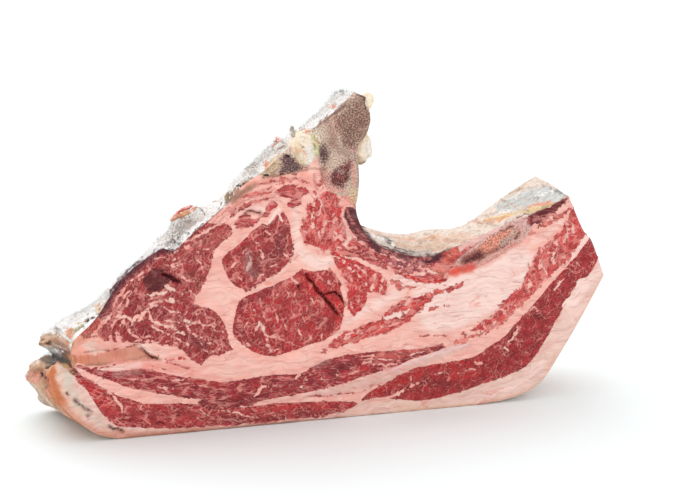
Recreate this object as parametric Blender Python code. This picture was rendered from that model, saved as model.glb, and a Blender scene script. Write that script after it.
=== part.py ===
"""A thick bone-in rib steak, standing on its fat edge.

The steak is one slice through the rib of an aged side of beef. Its cut face is
drawn flat, in millimetres: X runs along the slice, from the lobe of fat at the
back of the animal to the rib end, and Z runs up from the floor. Every piece is
an outline on that drawing. The drawing is carried through the thickness of the
slice, along Y, and drifts a little on the way, because the trimmed back of the
slice lies lower than its front.
"""

import math
from dataclasses import dataclass

import bpy
import bmesh
from mathutils import Vector, noise

MM = 0.001
THICKNESS = 64.0
GAP = 0.3
BODY_STEP = 6.5
PIECE_STEP = 6.0
DEPTH_STEPS = 8
OVERSHOOT = 0.05

# The sawn and trimmed side along the backbone is nearly a plane on the drawing.
MEDIAL_NORMAL = Vector((-0.62, 0.78))
MEDIAL_EDGE = 168.0
MEDIAL_ROOT = 110.0
MEDIAL_TAPER = -12.0

CRUST_HEIGHT = 2.2
CRUST_PITCH = 17.0
FAT_HEIGHT = 0.9
FAT_PITCH = 30.0
FLOOR_BAND = 12.0


@dataclass(frozen=True)
class Drift:
    """A move of the drawing from the front face to the back one, round one spot."""

    at: tuple
    reach: float
    by: tuple


@dataclass(frozen=True)
class Lump:
    """A lump of dried crust that stands out of the side wall."""

    at: tuple
    depth: float
    reach: float
    height: float


@dataclass(frozen=True)
class Look:
    """The plain finish of a piece: colour, roughness."""

    colour: tuple
    roughness: float


@dataclass(frozen=True)
class Region:
    """A piece that runs through the slice: its outline and what it gives way to."""

    name: str
    look: Look
    outline: tuple
    yields_to: tuple = ()


@dataclass(frozen=True)
class Nub:
    """A rounded lump of cartilage or fat: its centre, radii and turn about Y."""

    name: str
    look: Look
    centre: tuple
    radii: tuple
    turn: float
    cuts: tuple


LEAN = Look((0.42, 0.06, 0.07), 0.45)
DARK_LEAN = Look((0.28, 0.04, 0.06), 0.45)
FAT = Look((0.86, 0.66, 0.58), 0.5)
OUTER_FAT = Look((0.88, 0.76, 0.62), 0.5)
BONE = Look((0.42, 0.28, 0.22), 0.7)
LIGAMENT = Look((0.78, 0.52, 0.42), 0.5)
CARTILAGE = Look((0.9, 0.83, 0.66), 0.4)

DRIFTS = (
    Drift(at=(-188, 35), reach=38, by=(-19, -8)),
    Drift(at=(108, 126), reach=27, by=(0, -12.3)),
    Drift(at=(-186, 24), reach=17, by=(-4.5, -2.5)),
    Drift(at=(-176, 78), reach=15, by=(-5.5, 3.4)),
    Drift(at=(-137, 111), reach=17, by=(3.5, -4.5)),
    Drift(at=(-103, 136), reach=13, by=(-4.0, 5.0)),
    Drift(at=(-187, 30), reach=9, by=(7.5, -0.5)),
    Drift(at=(-189, 60), reach=7, by=(-1.5, -6.0)),
    Drift(at=(-174, 12), reach=9, by=(-3.5, -3.5)),
    Drift(at=(-179, 63), reach=6, by=(-11.0, 1.0)),
)

LUMPS = (
    Lump(at=(-101, 137), depth=0.72, reach=10, height=6.5),
    Lump(at=(-88, 147), depth=0.8, reach=8, height=3.5),
    Lump(at=(-42, 184), depth=0.75, reach=8, height=4.0),
    Lump(at=(-28, 196), depth=0.7, reach=7, height=4.0),
    Lump(at=(-180, 71), depth=0.82, reach=9, height=7.0),
    Lump(at=(-112, 131), depth=0.5, reach=7, height=4.0),
)

# The whole slice, clockwise from the top of the chine, in runs that meet at corners.
SLICE = (
    ((10, 224.5), (17.5, 221)),
    (
        (17.5, 221), (17, 217), (20.5, 211), (21, 205), (18.5, 196.5), (12.5, 189),
        (12, 183), (13, 175), (13.5, 166), (12.8, 157), (11, 148), (14, 136.5),
        (20, 127), (30, 119), (48, 112.3), (65, 110.5), (80, 115.5), (100, 123),
        (120, 131), (140, 137), (161.5, 146.5),
    ),
    ((161.5, 146.5), (168, 132), (173.5, 121), (179, 115), (185.5, 100), (190, 88)),
    (
        (190, 88), (184, 76), (170, 50), (160, 33), (150, 17), (143, 10), (133, 5),
        (118, 1.5), (100, 0),
    ),
    ((100, 0), (-150, 0)),
    (
        (-150, 0), (-163, 4), (-172, 11), (-180, 19), (-188, 30), (-193, 43),
        (-192, 53), (-187, 58), (-182, 56), (-178, 52),
    ),
    (
        (-178, 52), (-178.5, 60), (-177, 70), (-165, 81), (-157, 91), (-145, 109),
        (-130, 121), (-117, 128.5), (-109, 126),
    ),
    (
        (-109, 126), (-100, 135), (-85, 146.5), (-72, 157), (-66, 165.5), (-50, 176),
        (-36, 188), (-26, 196), (-20, 199.5), (-10, 207.5), (0, 215), (10, 224.5),
    ),
)

# Each piece's outline, closed and smooth. Where it passes the edge of the slice, the
# edge of the slice bounds the piece.
BONES = (
    Region(
        "chine_bone",
        BONE,
        (
            (24, 144), (9, 149), (4, 154), (-2, 158), (-8, 160.5), (-11, 166),
            (-13, 172), (-14.5, 180), (-15, 190), (-17, 196), (-24, 206), (-12, 220),
            (4, 234), (28, 232), (34, 206), (30, 176), (27, 156),
        ),
    ),
    Region(
        "feather_bone",
        BONE,
        (
            (-50, 170.5), (-44, 171.5), (-34, 173.2), (-26, 175), (-25, 178.5),
            (-29, 184), (-33, 190), (-37, 197), (-46, 193), (-56, 184), (-56, 176),
        ),
    ),
    Region(
        "rib_bone",
        BONE,
        (
            (79, 100), (85, 99.3), (93, 100), (101, 102.3), (111, 107), (121, 112),
            (129.5, 117.5), (134, 124), (135, 134), (131, 145), (121, 140),
            (112, 127), (103, 121.5), (95, 116.5), (88, 111.5), (82, 107),
        ),
    ),
)

LIGAMENTS = (
    Region(
        "back_strap",
        LIGAMENT,
        (
            (-186, 61.5), (-180, 64), (-170, 64), (-160, 62.5), (-148, 63), (-137, 64.5),
            (-131, 61), (-126, 57.6), (-122, 55.2), (-122.8, 53), (-134, 53.6),
            (-147, 53.2), (-160, 52.6), (-170, 54.5), (-179, 58),
        ),
    ),
)

FATS = (
    Region(
        "fat_cap",
        OUTER_FAT,
        (
            (-186, 52.5), (-176, 50), (-172, 41), (-166, 29), (-160, 18), (-152, 9.5),
            (-140, 7.5), (-122, 4.8), (-100, 3.6), (-75, 3.6), (-50, 3.2), (-20, 3.2),
            (4, 4.5), (14, 10), (22, 12.8), (34, 11.5), (48, 8.5), (62, 7), (80, 10),
            (100, 14.5), (120, 20), (134, 25.5), (144, 37), (154, 55), (161, 67),
            (167, 79), (176, 87), (183, 96), (186, 104), (202, 108), (206, 84),
            (176, 18), (140, -16), (60, -14), (-60, -14), (-150, -16), (-196, -4),
            (-214, 40), (-204, 68), (-192, 66),
        ),
    ),
)

MUSCLES = (
    Region(
        "eye_muscle",
        LEAN,
        (
            (-68, 90), (-71, 80), (-73, 68), (-68, 61), (-58, 52.5), (-48, 49.5),
            (-35, 51), (-20, 55.5), (-8, 59), (0, 65), (2.6, 75), (2.8, 84), (0, 93),
            (-3.5, 101), (-9, 106.5), (-18, 106), (-26, 108.5), (-32, 103.5),
            (-39, 101.5), (-48, 97.5), (-58, 94.5), (-64, 92.5),
        ),
    ),
    Region(
        "inner_muscle",
        LEAN,
        (
            (-79, 119), (-70, 126), (-60, 135), (-52, 141), (-48, 139.5), (-42, 146),
            (-38, 148.5), (-34.5, 143), (-33, 134), (-32, 124), (-34, 115),
            (-38, 110), (-47, 105), (-57, 99), (-63, 97), (-70, 99.5), (-76, 108),
        ),
    ),
    Region(
        "chine_muscle",
        LEAN,
        (
            (-21, 147.5), (-18, 153), (-12, 159), (-4, 161), (0.5, 154), (1, 147),
            (2, 140), (4, 132), (5.3, 126.5), (2, 123.5), (-4, 120.8), (-11, 119),
            (-16, 123), (-24, 126.5), (-26.5, 131), (-25.5, 138), (-23.5, 143.5),
        ),
        ("chine_bone",),
    ),
    Region(
        "rib_muscle",
        DARK_LEAN,
        (
            (3, 156), (12, 152), (24, 148), (26, 138), (36, 128), (52, 122),
            (68, 121), (84, 126), (104, 134), (126, 144), (127, 130), (112, 118),
            (98, 110), (86, 106), (80, 103.5), (76.5, 99.5), (70, 94), (62, 92),
            (54, 93.5), (45, 97.5), (36, 102.5), (26, 106.5),
            (18, 110.8), (10, 115), (2, 116.8), (-4, 117), (-3.5, 119.4),
            (4.5, 121.6), (8.2, 126.5),
            (7, 132), (5, 139), (4, 146),
        ),
        ("chine_bone", "rib_bone"),
    ),
    Region(
        "fan_muscle",
        LEAN,
        (
            (-5.5, 115.5), (-2.5, 109.5), (1.5, 102.5), (4.8, 94), (5.2, 86), (6, 78),
            (9.5, 72.5), (14, 75), (18, 81), (19.5, 88), (24, 89), (31, 86.5),
            (33.5, 92), (31.5, 98), (25, 102.6), (17, 108), (9, 112), (2, 114.8),
        ),
    ),
    Region(
        "tongue_muscle",
        LEAN,
        (
            (-7, 52), (-3, 57.5), (4, 62), (12, 64), (21, 67.5), (28, 68.8),
            (34, 75.5), (45, 81.5), (58, 84.5), (72, 87.8), (84.5, 90.3),
            (85.5, 88), (78, 85.6), (68, 83), (61, 77.5), (52, 69.5), (42, 63),
            (30, 58.5), (16, 56), (2, 52.5),
        ),
    ),
    Region(
        "upper_strap",
        LEAN,
        (
            (-171, 50.8), (-160, 49.5), (-148, 47.5), (-135, 48.5), (-125, 46),
            (-107, 40), (-95, 37.5), (-84, 34.5), (-70, 34), (-50, 36), (-35, 35),
            (-25, 36), (-17, 40), (-5, 44.5), (8, 45.5), (28, 46.3), (48, 45.8),
            (62, 46), (72, 48), (75, 45), (62, 41), (50, 38.5), (40, 34.5), (20, 30),
            (0, 25), (-30, 20.5), (-50, 18.8), (-62, 17.6), (-80, 20), (-110, 26.5),
            (-140, 35), (-157, 43.5),
        ),
    ),
    Region(
        "lower_strap",
        DARK_LEAN,
        (
            (-177, 46), (-174, 35), (-166, 20), (-152, 2), (-120, -3), (-60, -4),
            (0, -3), (14, 6), (11, 10.5), (-10, 13.5), (-30, 14.8), (-50, 15.2),
            (-66, 14.8), (-85, 17.6), (-110, 21.5), (-133, 23.5), (-141, 27.5),
            (-150, 31), (-160, 39), (-170, 45.5),
        ),
        ("fat_cap",),
    ),
    Region(
        "flank_muscle",
        DARK_LEAN,
        (
            (15, 12), (20, 17.5), (30, 21.5), (40, 27), (55, 32), (75, 34), (95, 36),
            (105, 42), (116, 48), (125, 57), (140, 73), (150, 85), (160, 95),
            (169, 104), (176, 114), (186, 122), (196, 110), (192, 92), (174, 72),
            (162, 46), (144, 22), (110, 6), (62, 0), (30, 4),
        ),
        ("fat_cap",),
    ),
    Region(
        "flank_band",
        LEAN,
        (
            (92, 55.5), (100, 60), (108, 65), (115, 72), (121, 80), (130, 84),
            (132, 93), (138, 107), (145, 114), (155, 120), (159, 129), (164, 137),
            (174, 142), (184, 128), (173, 116.5), (167, 107), (158, 98.5), (148, 90),
            (138, 79), (127, 70), (119, 61), (108, 54.5), (98, 53.5),
        ),
    ),
    Region(
        "cap_muscle",
        LEAN,
        (
            (-190, 70), (-170, 70.5), (-158, 69.5), (-142, 67), (-124, 65),
            (-112, 61.5), (-105, 57.5), (-100, 50.5), (-95, 47.5), (-89, 52),
            (-79, 54), (-73, 56.5), (-76, 63), (-77.5, 73), (-81, 80), (-88, 86.5),
            (-98, 90), (-93.5, 99), (-90, 106), (-86, 115), (-85, 121.5),
            (-80, 129.5), (-71.5, 135.5), (-74, 142), (-84, 143), (-98, 147),
            (-116, 142), (-136, 134), (-154, 116), (-168, 98), (-182, 84),
        ),
    ),
)

NUBS = (
    Nub(
        "cartilage_bulb",
        CARTILAGE,
        (-22.8, -22.4, 188.4),
        (8.6, 9.3, 11.2),
        0.2,
        ("chine_bone", "feather_bone"),
    ),
    Nub(
        "cartilage_pad",
        CARTILAGE,
        (15.4, -22.0, 186.6),
        (8.0, 9.8, 11.0),
        -0.1,
        ("chine_bone",),
    ),
    Nub("fat_nub", CARTILAGE, (19.2, -26.5, 217.4), (3.9, 5.0, 5.2), 0.2, ("chine_bone",)),
)


def clear_scene():
    """Empties the scene of objects."""
    for obj in list(bpy.data.objects):
        bpy.data.objects.remove(obj, do_unlink=True)


def collection(name, hidden=False):
    """A collection of that name in the scene."""
    made = bpy.data.collections.new(name)
    made.hide_render = hidden
    bpy.context.scene.collection.children.link(made)
    return made


def smooth_step(low, high, value):
    """0 below low, 1 above high, and a smooth rise between."""
    part = min(max((value - low) / (high - low), 0.0), 1.0)
    return part * part * (3.0 - 2.0 * part)


def catmull_rom(before, start, end, after, part):
    """A point between start and end on the smooth curve through all four."""
    square = part * part
    cube = square * part
    return 0.5 * (
        2.0 * start
        + (end - before) * part
        + (2.0 * before - 5.0 * start + 4.0 * end - after) * square
        + (3.0 * start - before - 3.0 * end + after) * cube
    )


def smooth_run(points, closed, step):
    """Points about a step apart on the smooth curve through the given ones."""
    given = [Vector(point) for point in points]
    count = len(given)
    if closed:
        around = [given[-1], *given, given[0], given[1]]
    else:
        around = [2 * given[0] - given[1], *given, 2 * given[-1] - given[-2]]
    run = []
    for index in range(count if closed else count - 1):
        quad = around[index : index + 4]
        pieces = max(1, round((quad[2] - quad[1]).length / step))
        run += [catmull_rom(*quad, piece / pieces) for piece in range(pieces)]
    return run


def outward_normals(loop):
    """The outward normal at each point of a closed loop."""
    area = sum(a.cross(b) for a, b in zip(loop, loop[1:] + loop[:1]))
    side = 1.0 if area > 0 else -1.0
    normals = []
    for index, point in enumerate(loop):
        along = loop[(index + 1) % len(loop)] - loop[index - 1]
        normals.append(side * Vector((along.y, -along.x)).normalized())
    return normals


def drifted(point, depth):
    """Where a point of the drawing lies at a depth of 0, the front, to 1, the back."""
    moved = point.copy()
    rise = smooth_step(MEDIAL_ROOT, MEDIAL_EDGE, MEDIAL_NORMAL.dot(point))
    moved += MEDIAL_NORMAL * (MEDIAL_TAPER * rise * depth)
    for drift in DRIFTS:
        pull = math.exp(-((point - Vector(drift.at)).length / drift.reach) ** 2)
        moved += Vector(drift.by) * (pull * depth)
    moved.y = max(moved.y, 0.0) if point.y >= 0.0 else point.y
    return moved


def placed(point, depth):
    """The drawing's point in space, in millimetres."""
    moved = drifted(point, depth)
    return Vector((moved.x, (depth - 0.5) * THICKNESS, moved.y))


def relief(point, normal, depth):
    """How far the side wall stands out at this point."""
    inside = math.sin(math.pi * depth) ** 0.5
    medial = smooth_step(0.5, 0.85, normal.dot(MEDIAL_NORMAL))
    spot = Vector((point.x, depth * THICKNESS, point.y))
    crust = CRUST_HEIGHT * noise.noise(spot / CRUST_PITCH) * medial
    fat = FAT_HEIGHT * noise.noise(spot / FAT_PITCH) * (1.0 - medial)
    height = (crust + fat) * inside
    for lump in LUMPS:
        away = (point - Vector(lump.at)).length
        behind = (depth - lump.depth) * THICKNESS
        height += lump.height * math.exp(-(away**2 + behind**2) / lump.reach**2) * inside
    return height * smooth_step(0.0, FLOOR_BAND, point.y)


def loft(name, rings, into):
    """A closed mesh object through rings of as many points each, front to back."""
    mesh = bmesh.new()
    rows = [[mesh.verts.new(point * MM) for point in ring] for ring in rings]
    for row, following in zip(rows, rows[1:]):
        for index in range(len(row)):
            after = (index + 1) % len(row)
            mesh.faces.new((row[index], row[after], following[after]))
            mesh.faces.new((row[index], following[after], following[index]))
    mesh.faces.new(rows[0])
    mesh.faces.new(rows[-1])
    bmesh.ops.recalc_face_normals(mesh, faces=mesh.faces)
    data = bpy.data.meshes.new(name)
    mesh.to_mesh(data)
    mesh.free()
    made = bpy.data.objects.new(name, data)
    into.objects.link(made)
    return made


def make_slice(into):
    """The whole slice as one solid, with the relief of its side walls."""
    loop = [point for run in SLICE for point in smooth_run(run, False, BODY_STEP)]
    normals = outward_normals(loop)
    rings = []
    for step in range(DEPTH_STEPS + 1):
        depth = step / DEPTH_STEPS
        ring = []
        for point, normal in zip(loop, normals):
            out = normal * relief(point, normal, depth)
            ring.append(placed(point, depth) + Vector((out.x, 0.0, out.y)))
        rings.append(ring)
    return loft("slice", rings, into)


def make_prism(name, outline, grown, into):
    """A piece's outline carried right through the slice, grown by so much."""
    loop = smooth_run(outline, True, PIECE_STEP)
    wider = [point + normal * grown for point, normal in zip(loop, outward_normals(loop))]
    depths = (-OVERSHOOT, 1.0 + OVERSHOOT)
    return loft(name, [[placed(point, depth) for point in wider] for depth in depths], into)


def make_nub(name, nub, grown, into):
    """A nub as a rounded solid, grown by so much."""
    mesh = bmesh.new()
    bmesh.ops.create_icosphere(mesh, subdivisions=3, radius=1.0)
    turn = math.cos(nub.turn), math.sin(nub.turn)
    for vert in mesh.verts:
        lumpy = 1.0 + 0.12 * noise.noise(vert.co * 1.7 + Vector(nub.centre))
        x, y, z = (axis * (radius * lumpy + grown) for axis, radius in zip(vert.co, nub.radii))
        vert.co = Vector((x * turn[0] + z * turn[1], y, z * turn[0] - x * turn[1]))
        vert.co = (vert.co + Vector(nub.centre)) * MM
    data = bpy.data.meshes.new(name)
    mesh.to_mesh(data)
    mesh.free()
    made = bpy.data.objects.new(name, data)
    into.objects.link(made)
    return made


def add_boolean(obj, operation, other):
    """Joins or cuts the object with another by a Boolean modifier."""
    modifier = obj.modifiers.new(f"{operation} {other.name}", "BOOLEAN")
    modifier.operation = operation
    modifier.object = other
    modifier.solver = "EXACT"


def applied(obj):
    """The object with its modifiers made part of its mesh."""
    graph = bpy.context.evaluated_depsgraph_get()
    data = bpy.data.meshes.new_from_object(obj.evaluated_get(graph))
    obj.modifiers.clear()
    obj.data = data
    return obj


def material(name, look):
    """A Principled material with the piece's colour and roughness."""
    made = bpy.data.materials.new(name)
    made.use_nodes = True
    shader = made.node_tree.nodes["Principled BSDF"]
    shader.inputs["Base Color"].default_value = (*look.colour, 1.0)
    shader.inputs["Roughness"].default_value = look.roughness
    return made


def finish(obj, look):
    """Gives the piece its material, with soft edges shaded smooth."""
    obj.data.materials.clear()
    obj.data.materials.append(material(obj.name, look))
    obj.data.shade_smooth()
    obj.data.set_sharp_from_angle(angle=math.radians(35))


def copy_of(obj, name, into):
    """A second object with a mesh of its own."""
    made = obj.copy()
    made.data = obj.data.copy()
    made.name = name
    into.objects.link(made)
    return made


def centre_on_origin(pieces):
    """Moves the pieces so that the middle of their box stands over the origin."""
    corners = [vert.co for piece in pieces for vert in piece.data.vertices]
    lows = [min(corner[axis] for corner in corners) for axis in range(3)]
    highs = [max(corner[axis] for corner in corners) for axis in range(3)]
    shift = Vector(((lows[0] + highs[0]) / -2, (lows[1] + highs[1]) / -2, -lows[2]))
    for piece in pieces:
        for vert in piece.data.vertices:
            vert.co += shift


def main():
    """Makes the steak: the slice is shared out between its pieces, one by one."""
    clear_scene()
    parts = collection("bone_in_rib_steak")
    cutters = collection("cutters", hidden=True)
    whole = make_slice(cutters)
    regions = BONES + LIGAMENTS + FATS + MUSCLES
    grown = {}
    for region in regions:
        grown[region.name] = make_prism(f"cut_{region.name}", region.outline, GAP, cutters)
    pieces = {}
    for region in regions:
        piece = make_prism(region.name, region.outline, 0.0, parts)
        add_boolean(piece, "INTERSECT", whole)
        for other in region.yields_to:
            add_boolean(piece, "DIFFERENCE", grown[other])
        pieces[region.name] = piece
    seam_fat = copy_of(whole, "seam_fat", parts)
    for cutter in grown.values():
        add_boolean(seam_fat, "DIFFERENCE", cutter)
    pieces["seam_fat"] = seam_fat
    for nub in NUBS:
        hollow = make_nub(f"cut_{nub.name}", nub, GAP, cutters)
        for other in (*nub.cuts, "seam_fat"):
            add_boolean(pieces[other], "DIFFERENCE", hollow)
        pieces[nub.name] = make_nub(nub.name, nub, 0.0, parts)
    for piece in pieces.values():
        applied(piece)
    for cutter in list(cutters.objects):
        bpy.data.objects.remove(cutter, do_unlink=True)
    centre_on_origin(pieces.values())
    for piece in regions + NUBS:
        finish(pieces[piece.name], piece.look)
    finish(seam_fat, FAT)


main()
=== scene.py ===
"""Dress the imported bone-in rib steak: cut faces, fat, bone, gristle and mould.

The drawing plane is the front cut of the slice, in millimetres: x runs across, z up,
and depth runs from 0 at the front cut to 1 at the back cut.
"""

import itertools
import logging
import math
from collections.abc import Sequence
from dataclasses import dataclass
from enum import Enum

import bmesh
import bpy
import numpy as np
from mathutils import Euler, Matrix, Vector, kdtree, noise
from mathutils.geometry import delaunay_2d_cdt


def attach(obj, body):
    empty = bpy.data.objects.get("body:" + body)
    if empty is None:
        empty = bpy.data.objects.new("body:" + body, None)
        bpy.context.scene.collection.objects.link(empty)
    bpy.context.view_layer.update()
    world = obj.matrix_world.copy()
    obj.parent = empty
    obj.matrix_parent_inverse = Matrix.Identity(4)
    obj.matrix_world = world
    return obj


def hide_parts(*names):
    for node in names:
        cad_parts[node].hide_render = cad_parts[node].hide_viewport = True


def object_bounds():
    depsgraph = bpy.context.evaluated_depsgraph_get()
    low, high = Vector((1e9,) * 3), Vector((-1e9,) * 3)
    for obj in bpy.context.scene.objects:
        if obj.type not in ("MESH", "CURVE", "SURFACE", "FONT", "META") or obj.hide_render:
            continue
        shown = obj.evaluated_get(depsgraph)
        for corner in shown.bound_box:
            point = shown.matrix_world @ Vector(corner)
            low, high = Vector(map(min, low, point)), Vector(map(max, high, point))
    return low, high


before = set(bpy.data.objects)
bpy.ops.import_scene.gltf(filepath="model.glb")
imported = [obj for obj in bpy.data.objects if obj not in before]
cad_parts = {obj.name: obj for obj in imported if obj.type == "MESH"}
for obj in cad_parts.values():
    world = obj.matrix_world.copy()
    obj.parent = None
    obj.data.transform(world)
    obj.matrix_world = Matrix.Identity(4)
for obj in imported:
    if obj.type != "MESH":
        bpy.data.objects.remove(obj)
CAD_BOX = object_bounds()

Array = np.ndarray
Point = tuple[float, float]
Place = tuple[float, float, float]
Path = tuple[Point, ...]

LOG = logging.getLogger("rib_steak")
MM = 0.001
BODY = "root"
NOISE_GAIN = 1.9
SAME_POINT = 0.01
ON_THE_CUT = 0.02
SHARP_ANGLE = 48


# ------------ numbers and colours


def linear(rgb: Sequence[float]) -> Place:
    """Turn an sRGB colour of 0 to 255 into linear light."""
    return tuple(
        value / 255 / 12.92 if value <= 10 else ((value / 255 + 0.055) / 1.055) ** 2.4
        for value in rgb
    )


def smooth_step(low: float, high: float, value: Array) -> Array:
    """Ease from 0 at low to 1 at high."""
    share = np.clip((np.asarray(value, float) - low) / (high - low), 0.0, 1.0)
    return share * share * (3.0 - 2.0 * share)


def lattice_noise(spots: Array, seed: int = 0) -> Array:
    """Work out smooth noise, about -1 to 1.

    Args:
        spots: One row of coordinates for each place, a cell of noise being 1 wide.
        seed: Another seed gives another pattern.

    Returns:
        One value for each row.
    """
    cell = np.floor(spots).astype(np.int64)
    offset = spots - cell
    ease = offset**3 * (offset * (offset * 6 - 15) + 10)
    primes = np.array((374761393, 668265263, 2147483647))[: spots.shape[1]]
    total = np.zeros(len(spots))
    for corner in itertools.product((0, 1), repeat=spots.shape[1]):
        step = np.array(corner)
        key = ((cell + step) * primes).sum(axis=1) + seed * 144665
        key = (key ^ (key >> 13)) * 1274126177
        key = (key ^ (key >> 16)) & 0xFFFFFF
        slopes = [((key >> (8 * axis)) & 255) / 127.5 - 1.0 for axis in range(len(primes))]
        share = np.prod(np.where(step == 1, ease, 1.0 - ease), axis=1)
        total += share * (np.stack(slopes, axis=1) * (offset - step)).sum(axis=1)
    return total * NOISE_GAIN


def noise_columns(spots: Array, *seeds: int) -> Array:
    """Work out smooth noise with a column for each seed."""
    return np.stack([lattice_noise(spots, seed) for seed in seeds], axis=1)


class Tone(Enum):
    """The colours of the steak, as sRGB."""

    EYE = (186, 54, 57)
    EYE_BRIGHT = (200, 42, 44)
    EYE_PURPLE = (156, 52, 60)
    INNER = (172, 56, 60)
    INNER_GREY = (176, 120, 116)
    CHINE_MEAT = (206, 70, 68)
    RIB_MEAT = (190, 70, 72)
    FAN = (210, 58, 60)
    TONGUE = (212, 70, 68)
    UPPER_STRAP = (164, 50, 58)
    LOWER_STRAP = (178, 58, 62)
    FLANK = (170, 44, 50)
    FLANK_BAND = (212, 76, 74)
    CAP = (168, 56, 60)
    CAP_DARK = (92, 34, 38)
    RED = (204, 52, 52)
    DEEP_RED = (140, 40, 46)
    # Dark blood red; also the painted shade at the edges of splits.
    GORE = (118, 26, 32)
    # Painted shade in splits, cracks and notches, and a few black spots on the crust.
    BLACK = (40, 18, 20)
    VEIN = (240, 160, 149)
    SEAM = (246, 182, 168)
    CREAM = (248, 214, 204)
    BLUSH = (240, 160, 148)
    TENDON = (224, 178, 166)
    LIGAMENT = (210, 138, 114)
    LIGAMENT_ORANGE = (214, 122, 92)
    RIND = (232, 194, 180)
    RIND_PINK = (220, 160, 148)
    LOBE_WHITE = (216, 200, 186)
    SPONGE = (160, 124, 108)
    SPONGE_RED = (138, 72, 70)
    IVORY = (214, 186, 168)
    GREY = (150, 140, 132)
    CRUST = (240, 238, 236)
    STRAW = (226, 196, 150)
    OLIVE = (150, 144, 92)
    BROWN = (150, 112, 92)
    PLEURA = (232, 217, 204)
    CAP_RED = (150, 62, 60)
    CAP_PINK = (196, 96, 90)
    DRIED = (78, 40, 50)
    FLECK = (238, 196, 180)
    FLUSH = (242, 158, 138)
    FLUSH_RED = (224, 104, 84)
    OCHRE = (222, 152, 108)
    WINE = (166, 78, 78)
    BLOOD = (234, 84, 70)
    RUST = (156, 104, 80)
    LOBE_ORANGE = (204, 118, 74)
    LOBE_PINK = (228, 190, 174)
    PALE_GREEN = (200, 208, 186)
    INNER_BROWN = (128, 62, 62)
    GREY_FAT = (200, 158, 150)
    PINK_LEAN = (218, 106, 96)
    RIB_PURPLE = (152, 84, 100)
    MARROW = (240, 156, 132)
    GORE_DARK = (96, 34, 42)
    RIB_BROWN = (136, 56, 62)
    TAN_SPOT = (200, 150, 130)
    TAN_EDGE = (222, 172, 138)
    LILAC = (236, 202, 206)
    SPONGE_DARK = (118, 88, 88)
    SPONGE_PINK = (176, 122, 114)
    MEMBRANE = (238, 226, 214)
    ASH = (192, 186, 178)
    BLUE_GREY = (204, 207, 205)
    SLATE = (112, 110, 106)
    YELLOW = (228, 192, 112)
    GREEN = (146, 148, 88)
    FLAKE = (228, 134, 96)
    CREVICE_SHADE = (112, 72, 70)
    # Painted shade along crevices and creases of the sides and the bone.
    TAN = (208, 172, 142)
    FUR = (84, 78, 72)
    PALE_CRUST = (222, 221, 216)
    LOBE_GREY = (208, 192, 176)
    CORTEX = (226, 178, 170)
    MARROW_DARK = (78, 40, 42)
    SPONGE_GREY = (188, 170, 160)
    BEIGE = (216, 190, 168)
    GRISTLE = (246, 230, 208)
    SOFT_FAT = (248, 234, 208)
    LIME = (214, 212, 158)
    SPARK = (222, 194, 172)
    LOBE_TAN = (214, 166, 132)
    FLAP = (188, 176, 160)
    FLAKE_PALE = (228, 156, 126)

    @property
    def light(self) -> tuple[float, float, float]:
        """The colour in linear light."""
        return linear(self.value)


# ------------ the slice


@dataclass(frozen=True)
class Drift:
    """A place whose outline moves on its way to the back cut, in millimetres."""

    at: Point
    reach: float
    by: Point


@dataclass(frozen=True)
class Lump:
    """A lump on the side wall, in millimetres."""

    at: Point
    depth: float
    reach: float
    height: float


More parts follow.
